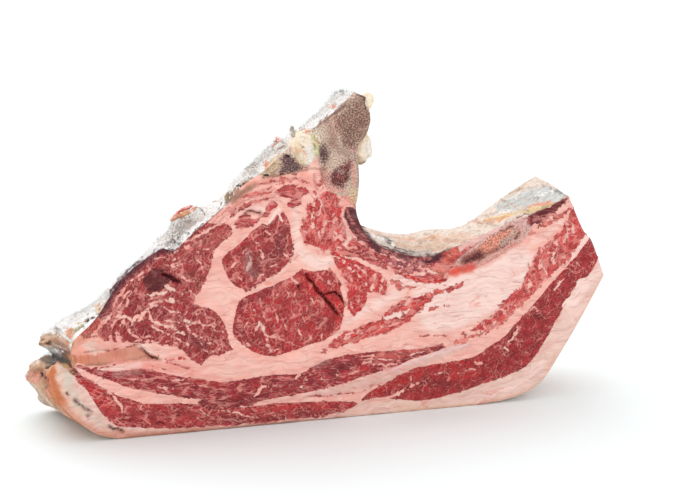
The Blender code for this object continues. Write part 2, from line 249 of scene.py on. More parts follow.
@dataclass(frozen=True)
class Slice:
    """The slice's shape between its cuts, with the numbers of the part's source.

    The medial side is the crusted one. The drawing was made from one place in front of the
    slice, so what lies further back was drawn smaller.
    """

    thickness: float = 64.0
    half_width: float = 190.0
    medial_normal: Point = (-0.62, 0.78)
    medial_root: float = 110.0
    medial_edge: float = 168.0
    medial_taper: float = -12.0
    crust_height: float = 2.2
    crust_pitch: float = 17.0
    fat_height: float = 0.9
    fat_pitch: float = 30.0
    floor_band: float = 12.0
    drawn_from: Point = (-234.3, 392.6)
    drawn_away: float = 932.8
    drifts: tuple[Drift, ...] = (
        Drift((-188, 35), 38, (-19, -8)),
        Drift((108, 126), 27, (0, -12.3)),
        Drift((-186, 24), 17, (-4.5, -2.5)),
        Drift((-176, 78), 15, (-5.5, 3.4)),
        Drift((-137, 111), 17, (3.5, -4.5)),
        Drift((-103, 136), 13, (-4.0, 5.0)),
        Drift((-187, 30), 9, (7.5, -0.5)),
        Drift((-189, 60), 7, (-1.5, -6.0)),
        Drift((-174, 12), 9, (-3.5, -3.5)),
        Drift((-179, 63), 6, (-11.0, 1.0)),
    )
    lumps: tuple[Lump, ...] = (
        Lump((-101, 137), 0.72, 10, 6.5),
        Lump((-88, 147), 0.8, 8, 3.5),
        Lump((-42, 184), 0.75, 8, 4.0),
        Lump((-28, 196), 0.7, 7, 4.0),
        Lump((-180, 71), 0.82, 9, 7.0),
        Lump((-112, 131), 0.5, 7, 4.0),
    )

    def shift(self) -> float:
        """How far the part's x is past the drawing's."""
        return CAD_BOX[1][0] / MM - self.half_width

    def drifted(self, flat: Array, depth: Array) -> Array:
        """Move the drawing to a depth.

        Args:
            flat: Places on the front cut.
            depth: Each one's depth, 0 to 1.

        Returns:
            The same places at their depth.
        """
        rise = smooth_step(self.medial_root, self.medial_edge, flat @ np.array(self.medial_normal))
        moved = flat + np.outer(self.medial_taper * rise * depth, self.medial_normal)
        for drift in self.drifts:
            away = np.hypot(*(flat - drift.at).T)
            pull = np.exp(-((away / drift.reach) ** 2)) * depth
            moved += np.outer(pull, drift.by)
        moved[:, 1] = np.where(flat[:, 1] >= 0.0, np.maximum(moved[:, 1], 0.0), flat[:, 1])
        return moved

    def medial_share(self, normals: Array) -> Array:
        """How far each part of the wall belongs to the medial side, 0 to 1."""
        return smooth_step(0.5, 0.85, normals @ np.array(self.medial_normal))

    def relief(self, flat: Array, normals: Array, depth: Array) -> Array:
        """Work out how far the side wall stands out.

        Args:
            flat: Places on the drawing.
            normals: The outward direction at each.
            depth: Each one's depth, 0 to 1.

        Returns:
            A height for each, in millimetres.
        """
        inside = np.sin(np.pi * np.clip(depth, 0.0, 1.0)) ** 0.5
        medial = self.medial_share(normals)
        spots = np.stack([flat[:, 0], depth * self.thickness, flat[:, 1]], axis=1)
        crust, fat = (
            np.array([noise.noise(Vector(spot) / pitch) for spot in spots])
            for pitch in (self.crust_pitch, self.fat_pitch)
        )
        height = self.crust_height * crust * medial + self.fat_height * fat * (1.0 - medial)
        for lump in self.lumps:
            away = np.hypot(*(flat - lump.at).T)
            behind = (depth - lump.depth) * self.thickness
            height += lump.height * np.exp(-(away**2 + behind**2) / lump.reach**2)
        return height * inside * smooth_step(0.0, self.floor_band, flat[:, 1])

    def shrunk(self, depth: Array) -> Array:
        """How much smaller each depth was drawn, as a column."""
        return (self.drawn_away / (self.drawn_away + depth * self.thickness))[:, None]

    def laid_flat(self, moved: Array, depth: Array) -> Array:
        """Lay the walls out as they were drawn, which is how the marks on them are given."""
        return np.array(self.drawn_from) + (moved - self.drawn_from) * self.shrunk(depth)

    def behind(self, seen: Array, depth: Array) -> Array:
        """Turn drawn places on a wall into places at their own depth."""
        return np.array(self.drawn_from) + (seen - self.drawn_from) / self.shrunk(depth)

    def placed(self, flat: Array, depth: Array) -> Array:
        """Give drawing points their place in the part, in millimetres."""
        x, z = self.drifted(flat, depth).T
        return np.stack([x + self.shift(), (depth - 0.5) * self.thickness, z], axis=1)


class Kind(Enum):
    """What a node of the part is made of."""

    LEAN = "lean_meat"
    SEAM = "seam_fat"
    FAT = "outer_fat"
    BONE = "bone"
    LIGAMENT = "ligament"


@dataclass(frozen=True)
class Cut:
    """One piece of the cut face: its colours, its grain and its marbling.

    On a bone, lean is the sponge's colour and fat the rim's, marbling is how dark the pores
    are, and rag how softly sponge turns into rim.
    """

    node: str
    kind: Kind
    lean: Tone
    fat: Tone
    grain: float = 0.0
    stretch: float = 1.0
    marbling: float = 0.5
    bundle: float = 3.2
    step: float = 1.0
    rag: float = 0.7
    specks: float = 0.55


CUTS = (
    Cut("eye_muscle", Kind.LEAN, Tone.EYE, Tone.VEIN, 70, 1.2, 0.5, 3.4, 0.8),
    Cut("inner_muscle", Kind.LEAN, Tone.INNER, Tone.VEIN, 40, 1.3, 0.45, 3.2, 0.8),
    Cut("chine_muscle", Kind.LEAN, Tone.CHINE_MEAT, Tone.VEIN, 80, 1.5, 0.85, 3.4, 0.8, 1.6),
    Cut("rib_muscle", Kind.LEAN, Tone.RIB_MEAT, Tone.VEIN, -18, 3.0, 0.6, 2.2, 0.8, 1.3),
    Cut("fan_muscle", Kind.LEAN, Tone.FAN, Tone.VEIN, 35, 1.8, 0.5, 3.0, 0.8, 1.4),
    Cut("tongue_muscle", Kind.LEAN, Tone.TONGUE, Tone.VEIN, 18, 2.6, 0.7, 2.4, 0.8, 1.7),
    Cut("upper_strap", Kind.LEAN, Tone.UPPER_STRAP, Tone.VEIN, -5, 4.0, 0.24, 2.0, 0.8, 0.8),
    Cut("lower_strap", Kind.LEAN, Tone.LOWER_STRAP, Tone.VEIN, -8, 2.0, 0.35, 2.4, 0.8),
    Cut("flank_muscle", Kind.LEAN, Tone.FLANK, Tone.VEIN, 40, 1.4, 0.16, 2.2, 0.8),
    Cut("flank_band", Kind.LEAN, Tone.FLANK_BAND, Tone.VEIN, 48, 1.7, 0.9, 3.0, 0.8, 2.4),
    Cut("cap_muscle", Kind.LEAN, Tone.CAP, Tone.VEIN, 55, 1.6, 0.42, 2.8, 0.8, 1.0),
    Cut("seam_fat", Kind.SEAM, Tone.RED, Tone.SEAM, 0, 4.0, 0.8, 3.0),
    Cut("fat_cap", Kind.FAT, Tone.RED, Tone.RIND, 12, 4.0, 0.5, 3.0),
    Cut("back_strap", Kind.LIGAMENT, Tone.LIGAMENT, Tone.LIGAMENT, 88, 5.0, 0.3, 3.0),
    Cut("chine_bone", Kind.BONE, Tone.SPONGE, Tone.IVORY, 85, step=0.8, rag=3.2),
    Cut("feather_bone", Kind.BONE, Tone.SPONGE, Tone.IVORY, 0, marbling=0.55, step=0.8, rag=2.0),
    Cut(
        "rib_bone", Kind.BONE, Tone.MARROW, Tone.CORTEX, 28,
        marbling=0.62, step=0.8, rag=0.9, specks=0.3,
    ),
)
FAT_KINDS = (Kind.SEAM, Kind.FAT, Kind.LIGAMENT)
# A wash of these tones tints only the fat, or only the lean, under it.
FAT_TONES = frozenset((
    Tone.CREAM, Tone.BLUSH, Tone.LILAC, Tone.LOBE_GREY, Tone.GRISTLE, Tone.TAN_EDGE,
    Tone.TAN_SPOT, Tone.LOBE_WHITE, Tone.LOBE_PINK, Tone.PALE_GREEN,
))
LEAN_TONES = frozenset((
    Tone.RED, Tone.DEEP_RED, Tone.EYE_BRIGHT, Tone.EYE_PURPLE, Tone.CAP_DARK, Tone.CAP_RED,
    Tone.CAP_PINK, Tone.INNER_GREY, Tone.INNER_BROWN, Tone.RIB_PURPLE, Tone.PINK_LEAN,
))


# ------------ the painted cut


class Act(Enum):
    """What a mark does."""

    FAT = "a line of fat"
    LEAN = "a line of lean"
    # A split is cut in as a groove and painted dark, as the shade in it.
    CLEFT = "an open split"
    WASH = "a soft change of colour"
    FAT_SPOT = "an area of fat"
    LEAN_SPOT = "an area of lean"
    MOULD = "a patch of mould"
    DIRT = "a speckled patch"
    RAISE = "a swelling, as high in millimetres as the mark is strong"


@dataclass(frozen=True)
class Mark:
    """One mark, in drawing millimetres.

    The width is a line's full width, or how far a wash fades out.
    """

    act: Act
    tone: Tone
    width: float
    path: Path
    strength: float = 1.0


def marks(
    act: Act, tone: Tone, width: float, strength: float, *rows: tuple[float, ...]
) -> tuple[Mark, ...]:
    """Make marks that differ only in their paths.

    Args:
        act: What they do.
        tone: Their colour.
        width: Their width.
        strength: How strongly they tell, 0 to 1, or how high a swelling is.
        rows: Each mark's path, as x, z, x, z and so on.

    Returns:
        The marks, in the same order.
    """
    return tuple(
        Mark(act, tone, width, tuple(zip(row[::2], row[1::2])), strength) for row in rows
    )


def wash(tone: Tone, width: float, strength: float, *rows: tuple[float, ...]) -> tuple[Mark, ...]:
    """Make soft changes of colour, with the arguments of marks."""
    return marks(Act.WASH, tone, width, strength, *rows)


CAP_MARKS = (
    *wash(Tone.DEEP_RED, 9, 0.6, (-142, 96, -133, 88), (-144, 78, -132, 76)),
    *wash(Tone.CAP_RED, 7, 0.5, (-112, 114, -98, 108, -92, 98), (-104, 62, -84, 60)),
    *wash(Tone.EYE_PURPLE, 7, 0.9, (-121, 86, -112, 82, -103, 77)),
    *wash(Tone.CAP_PINK, 6, 0.8, (-104, 126, -90, 131, -76, 136)),
    *wash(Tone.CAP_DARK, 5, 0.55, (-104, 69, -98, 65, -92, 60)),
    *wash(Tone.RED, 4, 0.8, (-174, 76, -166, 78, -160, 82), (-118, 103, -114, 105)),
    *wash(
        Tone.DEEP_RED, 2.6, 1,
        (-154, 91, -147, 101, -141, 108.5, -134, 114.5, -126, 119.5, -118, 123),
    ),
    *wash(
        Tone.DRIED, 6, 1,
        (-159, 88, -151, 100.5, -145, 108.5, -138, 115, -130, 121, -120, 127, -112, 128),
    ),
    *wash(
        Tone.CAP_DARK, 2.4, 1,
        (-128, 105, -129, 110, -125, 114.5, -119, 114, -115, 111, -113, 107, -117, 103, -122, 101,
         -127, 102, -128, 105),
    ),
    *marks(
        Act.FAT, Tone.VEIN, 0.9, 1,
        (-155, 84, -150, 93, -144, 102, -138, 108.5, -131, 113.5, -127, 116),
        (-152, 82, -147, 91, -142, 99.5, -136.5, 105.5, -131, 110),
        (-124, 118.5, -120, 119.5, -114, 117.5, -107, 119, -100, 122.5, -93, 126, -87, 127),
        (-130, 95, -124, 95.8, -117, 96.8), (-130, 90.5, -124, 93, -118, 94, -113, 93),
        (-125, 70, -118, 67, -110, 64), (-94, 58, -88, 56, -82, 57, -76, 55),
        (-152, 66, -140, 67.5, -128, 66.5, -118, 63.5),
    ),
    *marks(
        Act.FAT, Tone.VEIN, 0.8, 1, (-149, 79, -146, 86, -142, 93, -138, 99),
        (-124, 122.5, -117, 122, -110, 120.8), (-112, 115.5, -104, 118, -96, 120.5),
        (-110, 125.5, -102, 128.5, -95, 131, -88, 134.5), (-98, 122, -92, 116, -90, 110),
        (-109, 112, -103, 107, -104, 101), (-103, 107, -97, 105, -93, 107),
        (-107, 97, -100, 98, -96, 94), (-103, 86, -104, 80, -102, 73, -97, 67, -93, 61),
        (-97, 84, -96, 78, -92, 74, -90, 68, -86, 63), (-92, 74, -86, 75, -80, 76),
        (-88, 82, -87, 76, -84, 70, -79, 69), (-96, 78, -101, 76), (-90, 68, -96, 66),
        (-150, 77, -146, 71, -140, 67), (-156, 74, -151, 68, -146, 66), (-138, 74, -134, 68),
        (-120, 90, -112, 86, -106, 84), (-118, 81, -111, 78.5, -104, 78),
        (-90, 62, -84, 60, -79, 61),
    ),
    *marks(
        Act.FAT, Tone.SEAM, 2, 1, (-147, 83.5, -142, 84.5, -138, 82),
        (-140, 79, -134, 82, -131, 86, -128, 88.5),
    ),
    *marks(
        Act.FAT, Tone.SEAM, 2.6, 1,
        (-128.5, 89, -127, 84, -125, 80, -120, 77, -113, 75, -108, 72.5),
    ),
    *marks(
        Act.FAT, Tone.SEAM, 1.4, 1, (-128, 88.5, -124, 91, -119, 92.5),
        (-127, 84, -128, 78, -123, 75, -116, 71, -109, 66.5, -102, 62),
        (-106, 130.5, -98, 134, -90, 138, -82, 142, -76, 143),
    ),
    *marks(
        Act.FAT, Tone.FLECK, 1.7, 1, (-131, 99.5, -125, 98.5, -118, 98.5, -114, 99.5),
        (-112, 75, -109, 71.5, -105, 69.5), (-105, 79.5, -101, 78),
    ),
    *marks(
        Act.FAT, Tone.FLECK, 2.8, 1, (-117, 104, -113, 101.5, -109.5, 99.5),
        (-113.4, 95, -112, 92.3),
    ),
    *marks(
        Act.FAT, Tone.BLUSH, 2.8, 1,
        (-150.6, 91.3, -154, 84.8, -158.7, 80.4, -163.4, 75.4, -168.7, 72.4),
        (-150, 74.2, -147.6, 68.6, -142, 64.7),
    ),
    *marks(
        Act.FAT, Tone.BLUSH, 1.2, 1,
        (-136.6, 105.7, -140.8, 96.6, -146.2, 88.2, -151.7, 79.2, -153.2, 73.8),
        (-154.4, 76.7, -153.3, 71.1, -152.3, 65.5),
        (-140.9, 75.5, -136.5, 71.1, -128.2, 69.7, -121.7, 67.7),
    ),
    *marks(
        Act.FAT, Tone.SEAM, 2, 1, (-145.9, 77, -145.2, 82, -141.8, 84.6, -138.1, 81.5, -134, 86),
    ),
    *marks(Act.CLEFT, Tone.BLACK, 2, 1, (-118, 111, -113, 109.5, -110, 107, -106, 105)),
    *wash(Tone.FLUSH, 6, 0.9, (-177, 62, -172, 71, -162, 71)),
    *marks(
        Act.FAT_SPOT, Tone.FLUSH, 0, 1,
        (-180, 63, -177, 71, -175, 75.5, -170, 72.5, -163, 72.5, -157, 69.5, -158, 62, -168, 61),
    ),
    *marks(
        Act.FAT_SPOT, Tone.FLECK, 0, 1,
        (-171, 67.5, -165, 70.3, -160, 67, -156.5, 63.2, -160, 61.5, -166, 63),
    ),
)
LEFT_MARKS = (
    *wash(Tone.LIGAMENT_ORANGE, 8, 0.6, (-180, 58, -168, 58)),
    *wash(
        Tone.BROWN, 1.2, 0.7, (-170, 63, -150, 63.4, -136, 65.4, -131, 61),
        (-170, 54, -152, 54.4, -134, 56, -126, 56),
    ),
    *marks(Act.LEAN, Tone.DEEP_RED, 0.8, 1, (-158, 63.2, -150, 63, -143, 64, -136, 65)),
    *marks(Act.CLEFT, Tone.BLACK, 0.8, 1, (-134, 62.5, -130, 58.5, -126, 55.5, -121.5, 53.5)),
    *marks(
        Act.LEAN, Tone.RED, 0.7, 1, (-176, 53.5, -168, 52, -160, 51.5, -150, 52.3),
        (-122, 57, -116, 51.5, -108, 47.5, -100, 44), (-130, 50.5, -122, 47.5, -112, 45),
        (-120, 50, -112, 54, -104, 53),
    ),
    *wash(Tone.BLUSH, 8, 0.75, (-150, 52, -132, 49, -116, 46, -100, 42), (-158, 66, -146, 66)),
    *wash(Tone.FLUSH_RED, 7, 0.2, (-156, 66, -140, 50, -120, 48, -100, 43)),
    *wash(Tone.CREAM, 3.5, 0.6, (-165, 50.5, -150, 50, -135, 51), (-133, 64, -126, 59)),
    *marks(Act.LEAN, Tone.DEEP_RED, 1.8, 1, (-176, 52.5, -168, 50.8, -158, 48)),
    *wash(Tone.RUST, 5, 0.3, (-176, 68, -168, 76, -160, 84)),
    *wash(Tone.RUST, 6, 0.18, (-164, 68, -156, 64, -146, 62)),
    *marks(
        Act.LEAN_SPOT, Tone.DEEP_RED, 0, 1,
        (-181, 53, -177, 53.5, -173, 48, -169, 42, -171, 39.5, -175, 44),
    ),
    *wash(Tone.RED, 8, 0.8, (-172, 40, -164, 32, -156, 24)),
    *marks(
        Act.FAT, Tone.SEAM, 1.5, 1, (-168, 46, -163, 41, -157, 36, -153, 31, -150, 26, -147.5, 19),
    ),
    *marks(
        Act.FAT, Tone.SEAM, 1.2, 1, (-134, 25, -135, 21.5, -137, 18),
        (-160, 37, -154, 35, -146, 32),
    ),
    *wash(Tone.LOBE_ORANGE, 9, 1, (-191, 53, -191.6, 44, -187.6, 32)),
    *wash(Tone.LOBE_ORANGE, 7.5, 0.7, (-185, 28, -180, 20.4, -171, 11, -160, 4.6, -146, 1.5)),
    *wash(Tone.STRAW, 3.4, 0.5, (-187, 54, -185, 41, -181, 31, -174, 20)),
    *wash(Tone.LOBE_GREY, 5.5, 0.95, (-184, 52, -181, 40, -176.6, 30, -170.6, 21, -163, 14)),
    *wash(Tone.LOBE_PINK, 3, 0.6, (-177, 47, -170.4, 36, -164.4, 26, -158.4, 18)),
    *wash(Tone.PALE_GREEN, 3.5, 0.6, (-177, 28, -171, 21.5), (-182, 46, -180, 36)),
    *wash(Tone.FLUSH, 2, 0.6, (-175, 24, -173, 22)),
    *wash(Tone.RIND_PINK, 3, 0.8, (-150, 3, -120, 2, -80, 1.5, -30, 1.5, 0, 1.5)),
    *wash(Tone.RUST, 3.8, 0.5, (-142, 1.5, -116, 1.2, -90, 1, -60, 0.8, -30, 0.6)),
    *wash(Tone.LIGAMENT, 5, 0.5, (-150, 4, -136, 3, -116, 2, -96, 1.6)),
    # A thin brown line along the bottom edge: partly the rind's brown rim, partly painted contact
    # shade.
    *wash(Tone.RUST, 1.5, 0.75, (-146, 0, -100, 0, -60, 0, 0, 0, 60, 0.2, 100, 0.4)),
    *wash(Tone.GREY, 2, 0.5, (-178, 30, -172, 24, -168, 20), (-158, 10.6, -148, 5.8)),
    *marks(Act.CLEFT, Tone.BLACK, 0.1, 1, (-178, 31, -175, 28, -172, 24.5, -167.5, 22)),
    *marks(
        Act.CLEFT, Tone.BLACK, 0.4, 1, (-156.5, 10, -152, 8, -147.5, 5.3),
        (-182.4, 35.8, -181.8, 34.4),
    ),
    *marks(Act.CLEFT, Tone.BLACK, 0.1, 1, (-170.4, 19.4, -169.3, 18.4), (-124, 10, -121, 9)),
    # Painted shade in the notch above the lobe.
    *wash(Tone.BLACK, 2.4, 0.9, (-187, 58, -181, 55, -177, 51)),
    *wash(Tone.OLIVE, 2.6, 0.8, (-184, 55.5, -180, 52, -178.5, 49.5)),
    *wash(Tone.OCHRE, 5, 1, (-179.5, 56, -179.5, 66, -176, 75)),
    *wash(Tone.RUST, 1.4, 0.8, (-179, 56, -178.6, 66, -175.4, 75), (-176.6, 54, -176.6, 61)),
)
EYE_MARKS = (
    *wash(Tone.EYE_BRIGHT, 9, 0.75, (-24, 104, -12, 88, 0, 82), (2, 95, 3, 80, 1, 70)),
    *wash(Tone.EYE_PURPLE, 9, 0.75, (-68, 86, -56, 93, -42, 99), (-70, 72, -64, 60)),
    *wash(Tone.DEEP_RED, 6, 0.5, (-14, 75, -9, 66), (-58, 60, -50, 54), (-60, 70, -56, 64)),
    *wash(Tone.BLUSH, 6, 0.5, (-38, 101, -30, 99)),
    *marks(
        Act.FAT, Tone.VEIN, 1.6, 1, (-53, 74, -56, 70, -58, 68), (-44, 83, -43.5, 78, -43, 74),
        (-50, 62, -49, 57, -47, 51),
    ),
    *marks(Act.FAT, Tone.FLECK, 2.2, 1, (-55.5, 74, -53, 70.5, -52, 66)),
    *marks(
        Act.FAT, Tone.VEIN, 1.9, 1, (-52, 66, -48, 63.5, -43, 62.5, -39, 60), (-34, 104, -29, 98),
        (-12, 58, -13, 63.5),
    ),
    *marks(
        Act.FAT, Tone.VEIN, 1, 1, (-24, 86, -23, 80, -23.5, 75), (-47, 52, -44, 54, -41, 53.5),
        (-60, 60, -55, 58.5), (-66, 61, -62, 58), (-50, 84, -52, 79, -50, 75), (-36, 93, -35, 87),
        (-30, 96, -31, 90, -29, 86), (-17, 72, -14, 68), (-29, 67, -26, 62), (-60, 84, -57, 79),
        (-38, 72, -36, 66), (-62, 76, -65, 71), (-20, 90, -18, 84), (-33, 80, -31, 74),
        (-42, 94, -44, 88), (-8, 100, -6, 94), (-22, 63, -19, 58),
    ),
    *wash(Tone.FLUSH, 4, 0.6, (-12, 115, -6, 110, -2, 104)),
    *marks(Act.LEAN, Tone.EYE, 2.4, 1, (-8.2, 107.5, -5, 103.5, -1.6, 97.5, 0.6, 91)),
    *marks(Act.LEAN, Tone.FAN, 2.6, 1, (-1.6, 113.4, 1.4, 106.4, 4.6, 99.6, 6.4, 92.6, 7, 86)),
    *marks(
        Act.LEAN_SPOT, Tone.RED, 0, 1,
        (-7, 121, -5.6, 117.6, 3.5, 114.8, 14.9, 115.8, 13.6, 121.8, 4, 121.5),
    ),
    *wash(Tone.PINK_LEAN, 3.5, 0.5, (-44, 94.5, -34, 99.5, -27, 102)),
    *marks(Act.FAT, Tone.SEAM, 1.2, 1, (1, 100, 3.4, 92, 4, 84, 3.6, 74), (-2, 104, 1, 100)),
    *marks(Act.CLEFT, Tone.BLACK, 1.3, 1, (-23, 104, -18, 97, -14, 91, -10, 86, -6, 81, -1, 74.5)),
    *marks(Act.CLEFT, Tone.BLACK, 0.8, 1, (-11, 89.5, -5, 91, 0, 87.5, 3, 82), (-29, 97, -27, 94)),
    *wash(Tone.INNER_GREY, 5, 0.8, (-62, 121, -62, 112, -58, 107)),
    *wash(Tone.INNER_BROWN, 11, 0.6, (-56, 112, -44, 120, -40, 130)),
    *wash(Tone.RED, 4, 0.6, (-77, 118, -72, 111, -66, 101), (-60, 134, -70, 126)),
    *marks(Act.FAT, Tone.GREY_FAT, 1.8, 1, (-62, 122, -60, 117, -62, 110)),
    *marks(
        Act.FAT, Tone.VEIN, 0.9, 1, (-55, 125, -52, 120, -53, 114), (-70, 108, -66, 104),
        (-74, 112, -70, 116), (-48, 112, -42, 113), (-60, 132, -55, 128), (-50, 136, -46, 132),
        (-44, 126, -40, 122), (-66, 122, -62, 126), (-40, 140, -37, 136), (-38, 120, -35, 116),
        (-56, 104, -52, 107),
    ),
    *marks(
        Act.LEAN, Tone.DEEP_RED, 0.8, 1, (-64, 95.8, -57, 98.5, -48, 104, -39, 109),
        (-33.6, 113, -31.6, 122, -32.2, 132),
    ),
    *marks(
        Act.FAT, Tone.CREAM, 1.3, 1, (-50, 140, -46, 143.5, -43, 148, -41, 151),
        (-40.5, 150, -40, 145, -38.5, 141),
    ),
)
TOP_MARKS = (
    *wash(Tone.CREAM, 5, 0.7, (-66, 151, -58, 152, -52, 150), (-30, 150, -29, 135, -28, 122)),
    *wash(Tone.CREAM, 8, 1, (-24, 117, -16, 112, -8, 112)),
    *wash(Tone.FLUSH, 4, 0.8, (-62, 167, -48, 170, -34, 172, -22, 172), (-68, 158, -60, 163)),
    *wash(Tone.BLUSH, 9, 0.75, (-76, 150, -60, 157, -40, 162, -20, 166), (-12, 172, -9, 162)),
    *wash(
        Tone.WINE, 0.9, 0.6, (-74, 150.6, -66, 155.6, -56, 159.6, -44, 163.2),
        (-70, 156, -58, 161.4, -46, 165), (-84, 141.4, -77, 147, -70, 151),
        (-60, 153, -50, 157.4, -44, 158.6), (-52, 167.6, -40, 169, -28, 169.4),
        (-90, 139, -82, 146, -74, 153.6), (-17.6, 172, -15.6, 162), (-12.6, 174, -11.4, 162),
        (-19, 158, -17, 150),
    ),
    *wash(
        Tone.WINE, 1.2, 0.6, (-107, 127.6, -98, 134.6, -90, 142, -82, 149, -74, 157, -67, 163.4),
    ),
    *marks(
        Act.LEAN_SPOT, Tone.RIB_MEAT, 0, 1,
        (-70, 141, -68, 145, -64, 148, -60, 147, -57, 144, -53, 146, -53, 143, -56, 141, -62, 139,
         -67, 138), (-53, 145, -50, 150, -48, 154.5, -44, 155.5, -41, 153.5, -45, 150, -49, 146),
        (-46, 161, -42, 163, -36, 166, -28, 164.5, -21, 162, -22, 159.5, -27, 157, -34, 157,
         -41, 159), (-36, 152, -34, 155, -28, 155.5, -27, 152.5, -31, 150),
    ),
    *marks(
        Act.LEAN_SPOT, Tone.RED, 0, 1, (-24, 145, -22, 149, -20, 153, -18.8, 147, -20, 143),
        (-27.5, 132, -26, 137, -24, 141, -21, 142, -19.5, 137, -20, 130, -22, 126, -25, 128),
    ),
    *marks(
        Act.FAT, Tone.SEAM, 1.2, 1, (-62, 149.5, -57, 149, -54, 147), (-60, 147, -57, 144.5),
        (-18.5, 155, -18.2, 148, -18.5, 140, -17.5, 133),
    ),
    *marks(Act.CLEFT, Tone.BLACK, 0.45, 1, (-64, 148, -60, 150.3, -56, 149.5, -53, 147.4)),
    *marks(
        Act.LEAN, Tone.PINK_LEAN, 1.8, 1, (-73, 149, -64, 154, -54, 156.5, -44, 158),
        (-66, 159.5, -56, 161, -46, 161.5), (-17, 169, -14, 162), (-12, 172, -12, 165),
        (-21, 163, -16, 160),
    ),
    *marks(
        Act.LEAN, Tone.PINK_LEAN, 0.9, 1, (-60, 165.5, -50, 168.5, -38, 170, -27, 170),
        (-50, 164, -40, 167.5, -28, 168.5, -21, 167),
    ),
    *marks(
        Act.LEAN, Tone.DEEP_RED, 0.9, 1, (-73, 147, -66, 151.5, -60, 154),
        (-100, 134.6, -92, 140.6, -86, 145.2, -79, 150.8),
    ),
    *wash(Tone.BROWN, 3, 0.7, (-70, 160, -62, 163, -56, 167)),
    *wash(Tone.GREY_FAT, 4, 0.6, (2, 136, 6, 128)),
    *marks(
        Act.FAT, Tone.VEIN, 1, 1, (-14, 155, -12, 150, -14, 144), (-8, 156, -6, 150, -9, 146),
        (-3, 152, -4, 146, -8, 140), (-14, 144, -10, 139, -12, 134), (-2, 142, -6, 136, -3, 131),
        (-12, 134, -14, 129, -11, 124), (-6, 130, -2, 126), (-24, 134, -21, 131),
        (2, 134, 0, 129, 3, 126),
    ),
)
RIB_MARKS = (
    *wash(
        Tone.DRIED, 1.6, 1,
        (3, 146, 6, 149, 10, 147, 12.4, 142, 14, 138, 20, 128.5, 26, 122.5, 36, 117.5, 48, 113.5,
         60, 111, 70, 112, 69, 108.5, 60, 106.5, 48, 109, 36, 113, 26, 117, 19, 122, 13, 127,
         8, 131, 4, 138, 3, 146),
    ),
    *wash(
        Tone.CAP_RED, 1.8, 0.7, (4, 150, 6.6, 142, 9, 137), (12, 133, 19, 125), (30, 117, 40, 113),
        (52, 109.6, 62, 109),
    ),
    *marks(
        Act.FAT_SPOT, Tone.BLUSH, 0, 1,
        (-1, 151, 1, 156, 8, 155, 12.5, 149, 11, 146.6, 6, 149, 3, 147),
    ),
    *wash(Tone.SPONGE, 2.4, 0.6, (9, 151, 11.5, 148)),
    *wash(Tone.DEEP_RED, 3, 0.8, (5, 136, 11, 128, 20, 121), (4, 118.5, 16, 117, 26, 112)),
    *marks(
        Act.FAT, Tone.VEIN, 1.3, 1, (3, 141, 6, 133.5, 11, 127, 18, 121, 24, 117),
        (-2, 120, 8, 121.5, 14, 119),
    ),
    *wash(Tone.RIB_PURPLE, 6, 0.8, (36, 110, 46, 106, 56, 104)),
    *wash(Tone.FLUSH, 5, 0.6, (66, 101, 74, 98, 80, 100)),
    *wash(Tone.FLUSH_RED, 6, 0.85, (70, 102, 76, 108, 80, 113), (78, 97, 88, 99)),
    *marks(
        Act.FAT, Tone.VEIN, 0.9, 1, (20, 119, 32, 113.5, 46, 107.5, 60, 101),
        (16, 116, 30, 110, 44, 104, 58, 98), (40, 110, 54, 104, 68, 99),
        (30, 107, 42, 101, 52, 98), (56, 106, 66, 103),
    ),
    *marks(Act.FAT, Tone.SEAM, 2.2, 1, (54, 98.5, 60, 99.5, 68, 99)),
    *marks(Act.LEAN, Tone.RED, 2.4, 1, (44, 98.5, 56, 94.5, 68, 93.5, 78, 95)),
    *wash(Tone.FLUSH, 4.5, 0.8, (84, 97, 100, 100, 118, 108, 132, 118)),
    *marks(
        Act.FAT_SPOT, Tone.CORTEX, 0, 1,
        (84, 112.6, 92, 116, 101, 120, 110, 124.6, 119, 129, 112, 129.6, 101, 125.6, 91, 120.4,
         83, 116.6),
    ),
    *marks(
        Act.LEAN_SPOT, Tone.MARROW, 0, 1,
        (83, 104, 90, 103.4, 100, 106.6, 108, 110.4, 116, 113.8, 122, 118, 126, 122, 125.4, 126.6,
         121, 128.8, 116, 127, 110, 124.4, 104, 121, 98, 117, 93, 113.4, 87, 109.4),
    ),
    *wash(Tone.GORE_DARK, 6.5, 1, (88, 106, 93, 108, 97, 109.4)),
    *wash(Tone.MARROW_DARK, 3, 0.55, (99, 108, 108, 112, 116, 115.4)),
    *wash(Tone.SPONGE_GREY, 5, 0.75, (114, 117, 120, 120, 122, 125)),
    *wash(
        Tone.MARROW_DARK, 1.3, 0.8, (113, 124.8, 117, 126.8, 121, 127.6), (123, 118.6, 125.6, 123),
    ),
    *wash(Tone.RED, 3.6, 0.8, (80, 101, 86, 100.4, 92, 101.6)),
    *wash(Tone.FLUSH_RED, 3.6, 0.6, (80, 99, 88, 100.6, 96, 102.6)),
    *wash(Tone.FLUSH_RED, 2.8, 0.7, (98, 103, 110, 108.6, 122, 115)),
    *marks(
        Act.LEAN_SPOT, Tone.RIB_BROWN, 0, 1,
        (131, 134, 131.6, 128.6, 136, 127.6, 142, 129, 148, 133, 154, 138, 160, 142, 162, 147,
         155, 146, 148, 140.5, 140, 138, 134, 137.5),
    ),
    *wash(Tone.CAP_DARK, 4.5, 0.9, (135, 136, 145, 137, 153, 141, 161, 146)),
    *wash(Tone.PINK_LEAN, 2.4, 0.6, (131, 133, 131.6, 129), (142, 129.6, 150, 135)),
    *marks(
        Act.LEAN, Tone.PINK_LEAN, 2.6, 1, (138, 126, 148, 129, 155, 133, 160, 137, 163, 141),
        (132, 122, 140, 123),
    ),
    *wash(Tone.CREAM, 4, 0.6, (136, 116, 146, 121, 155, 128)),
)
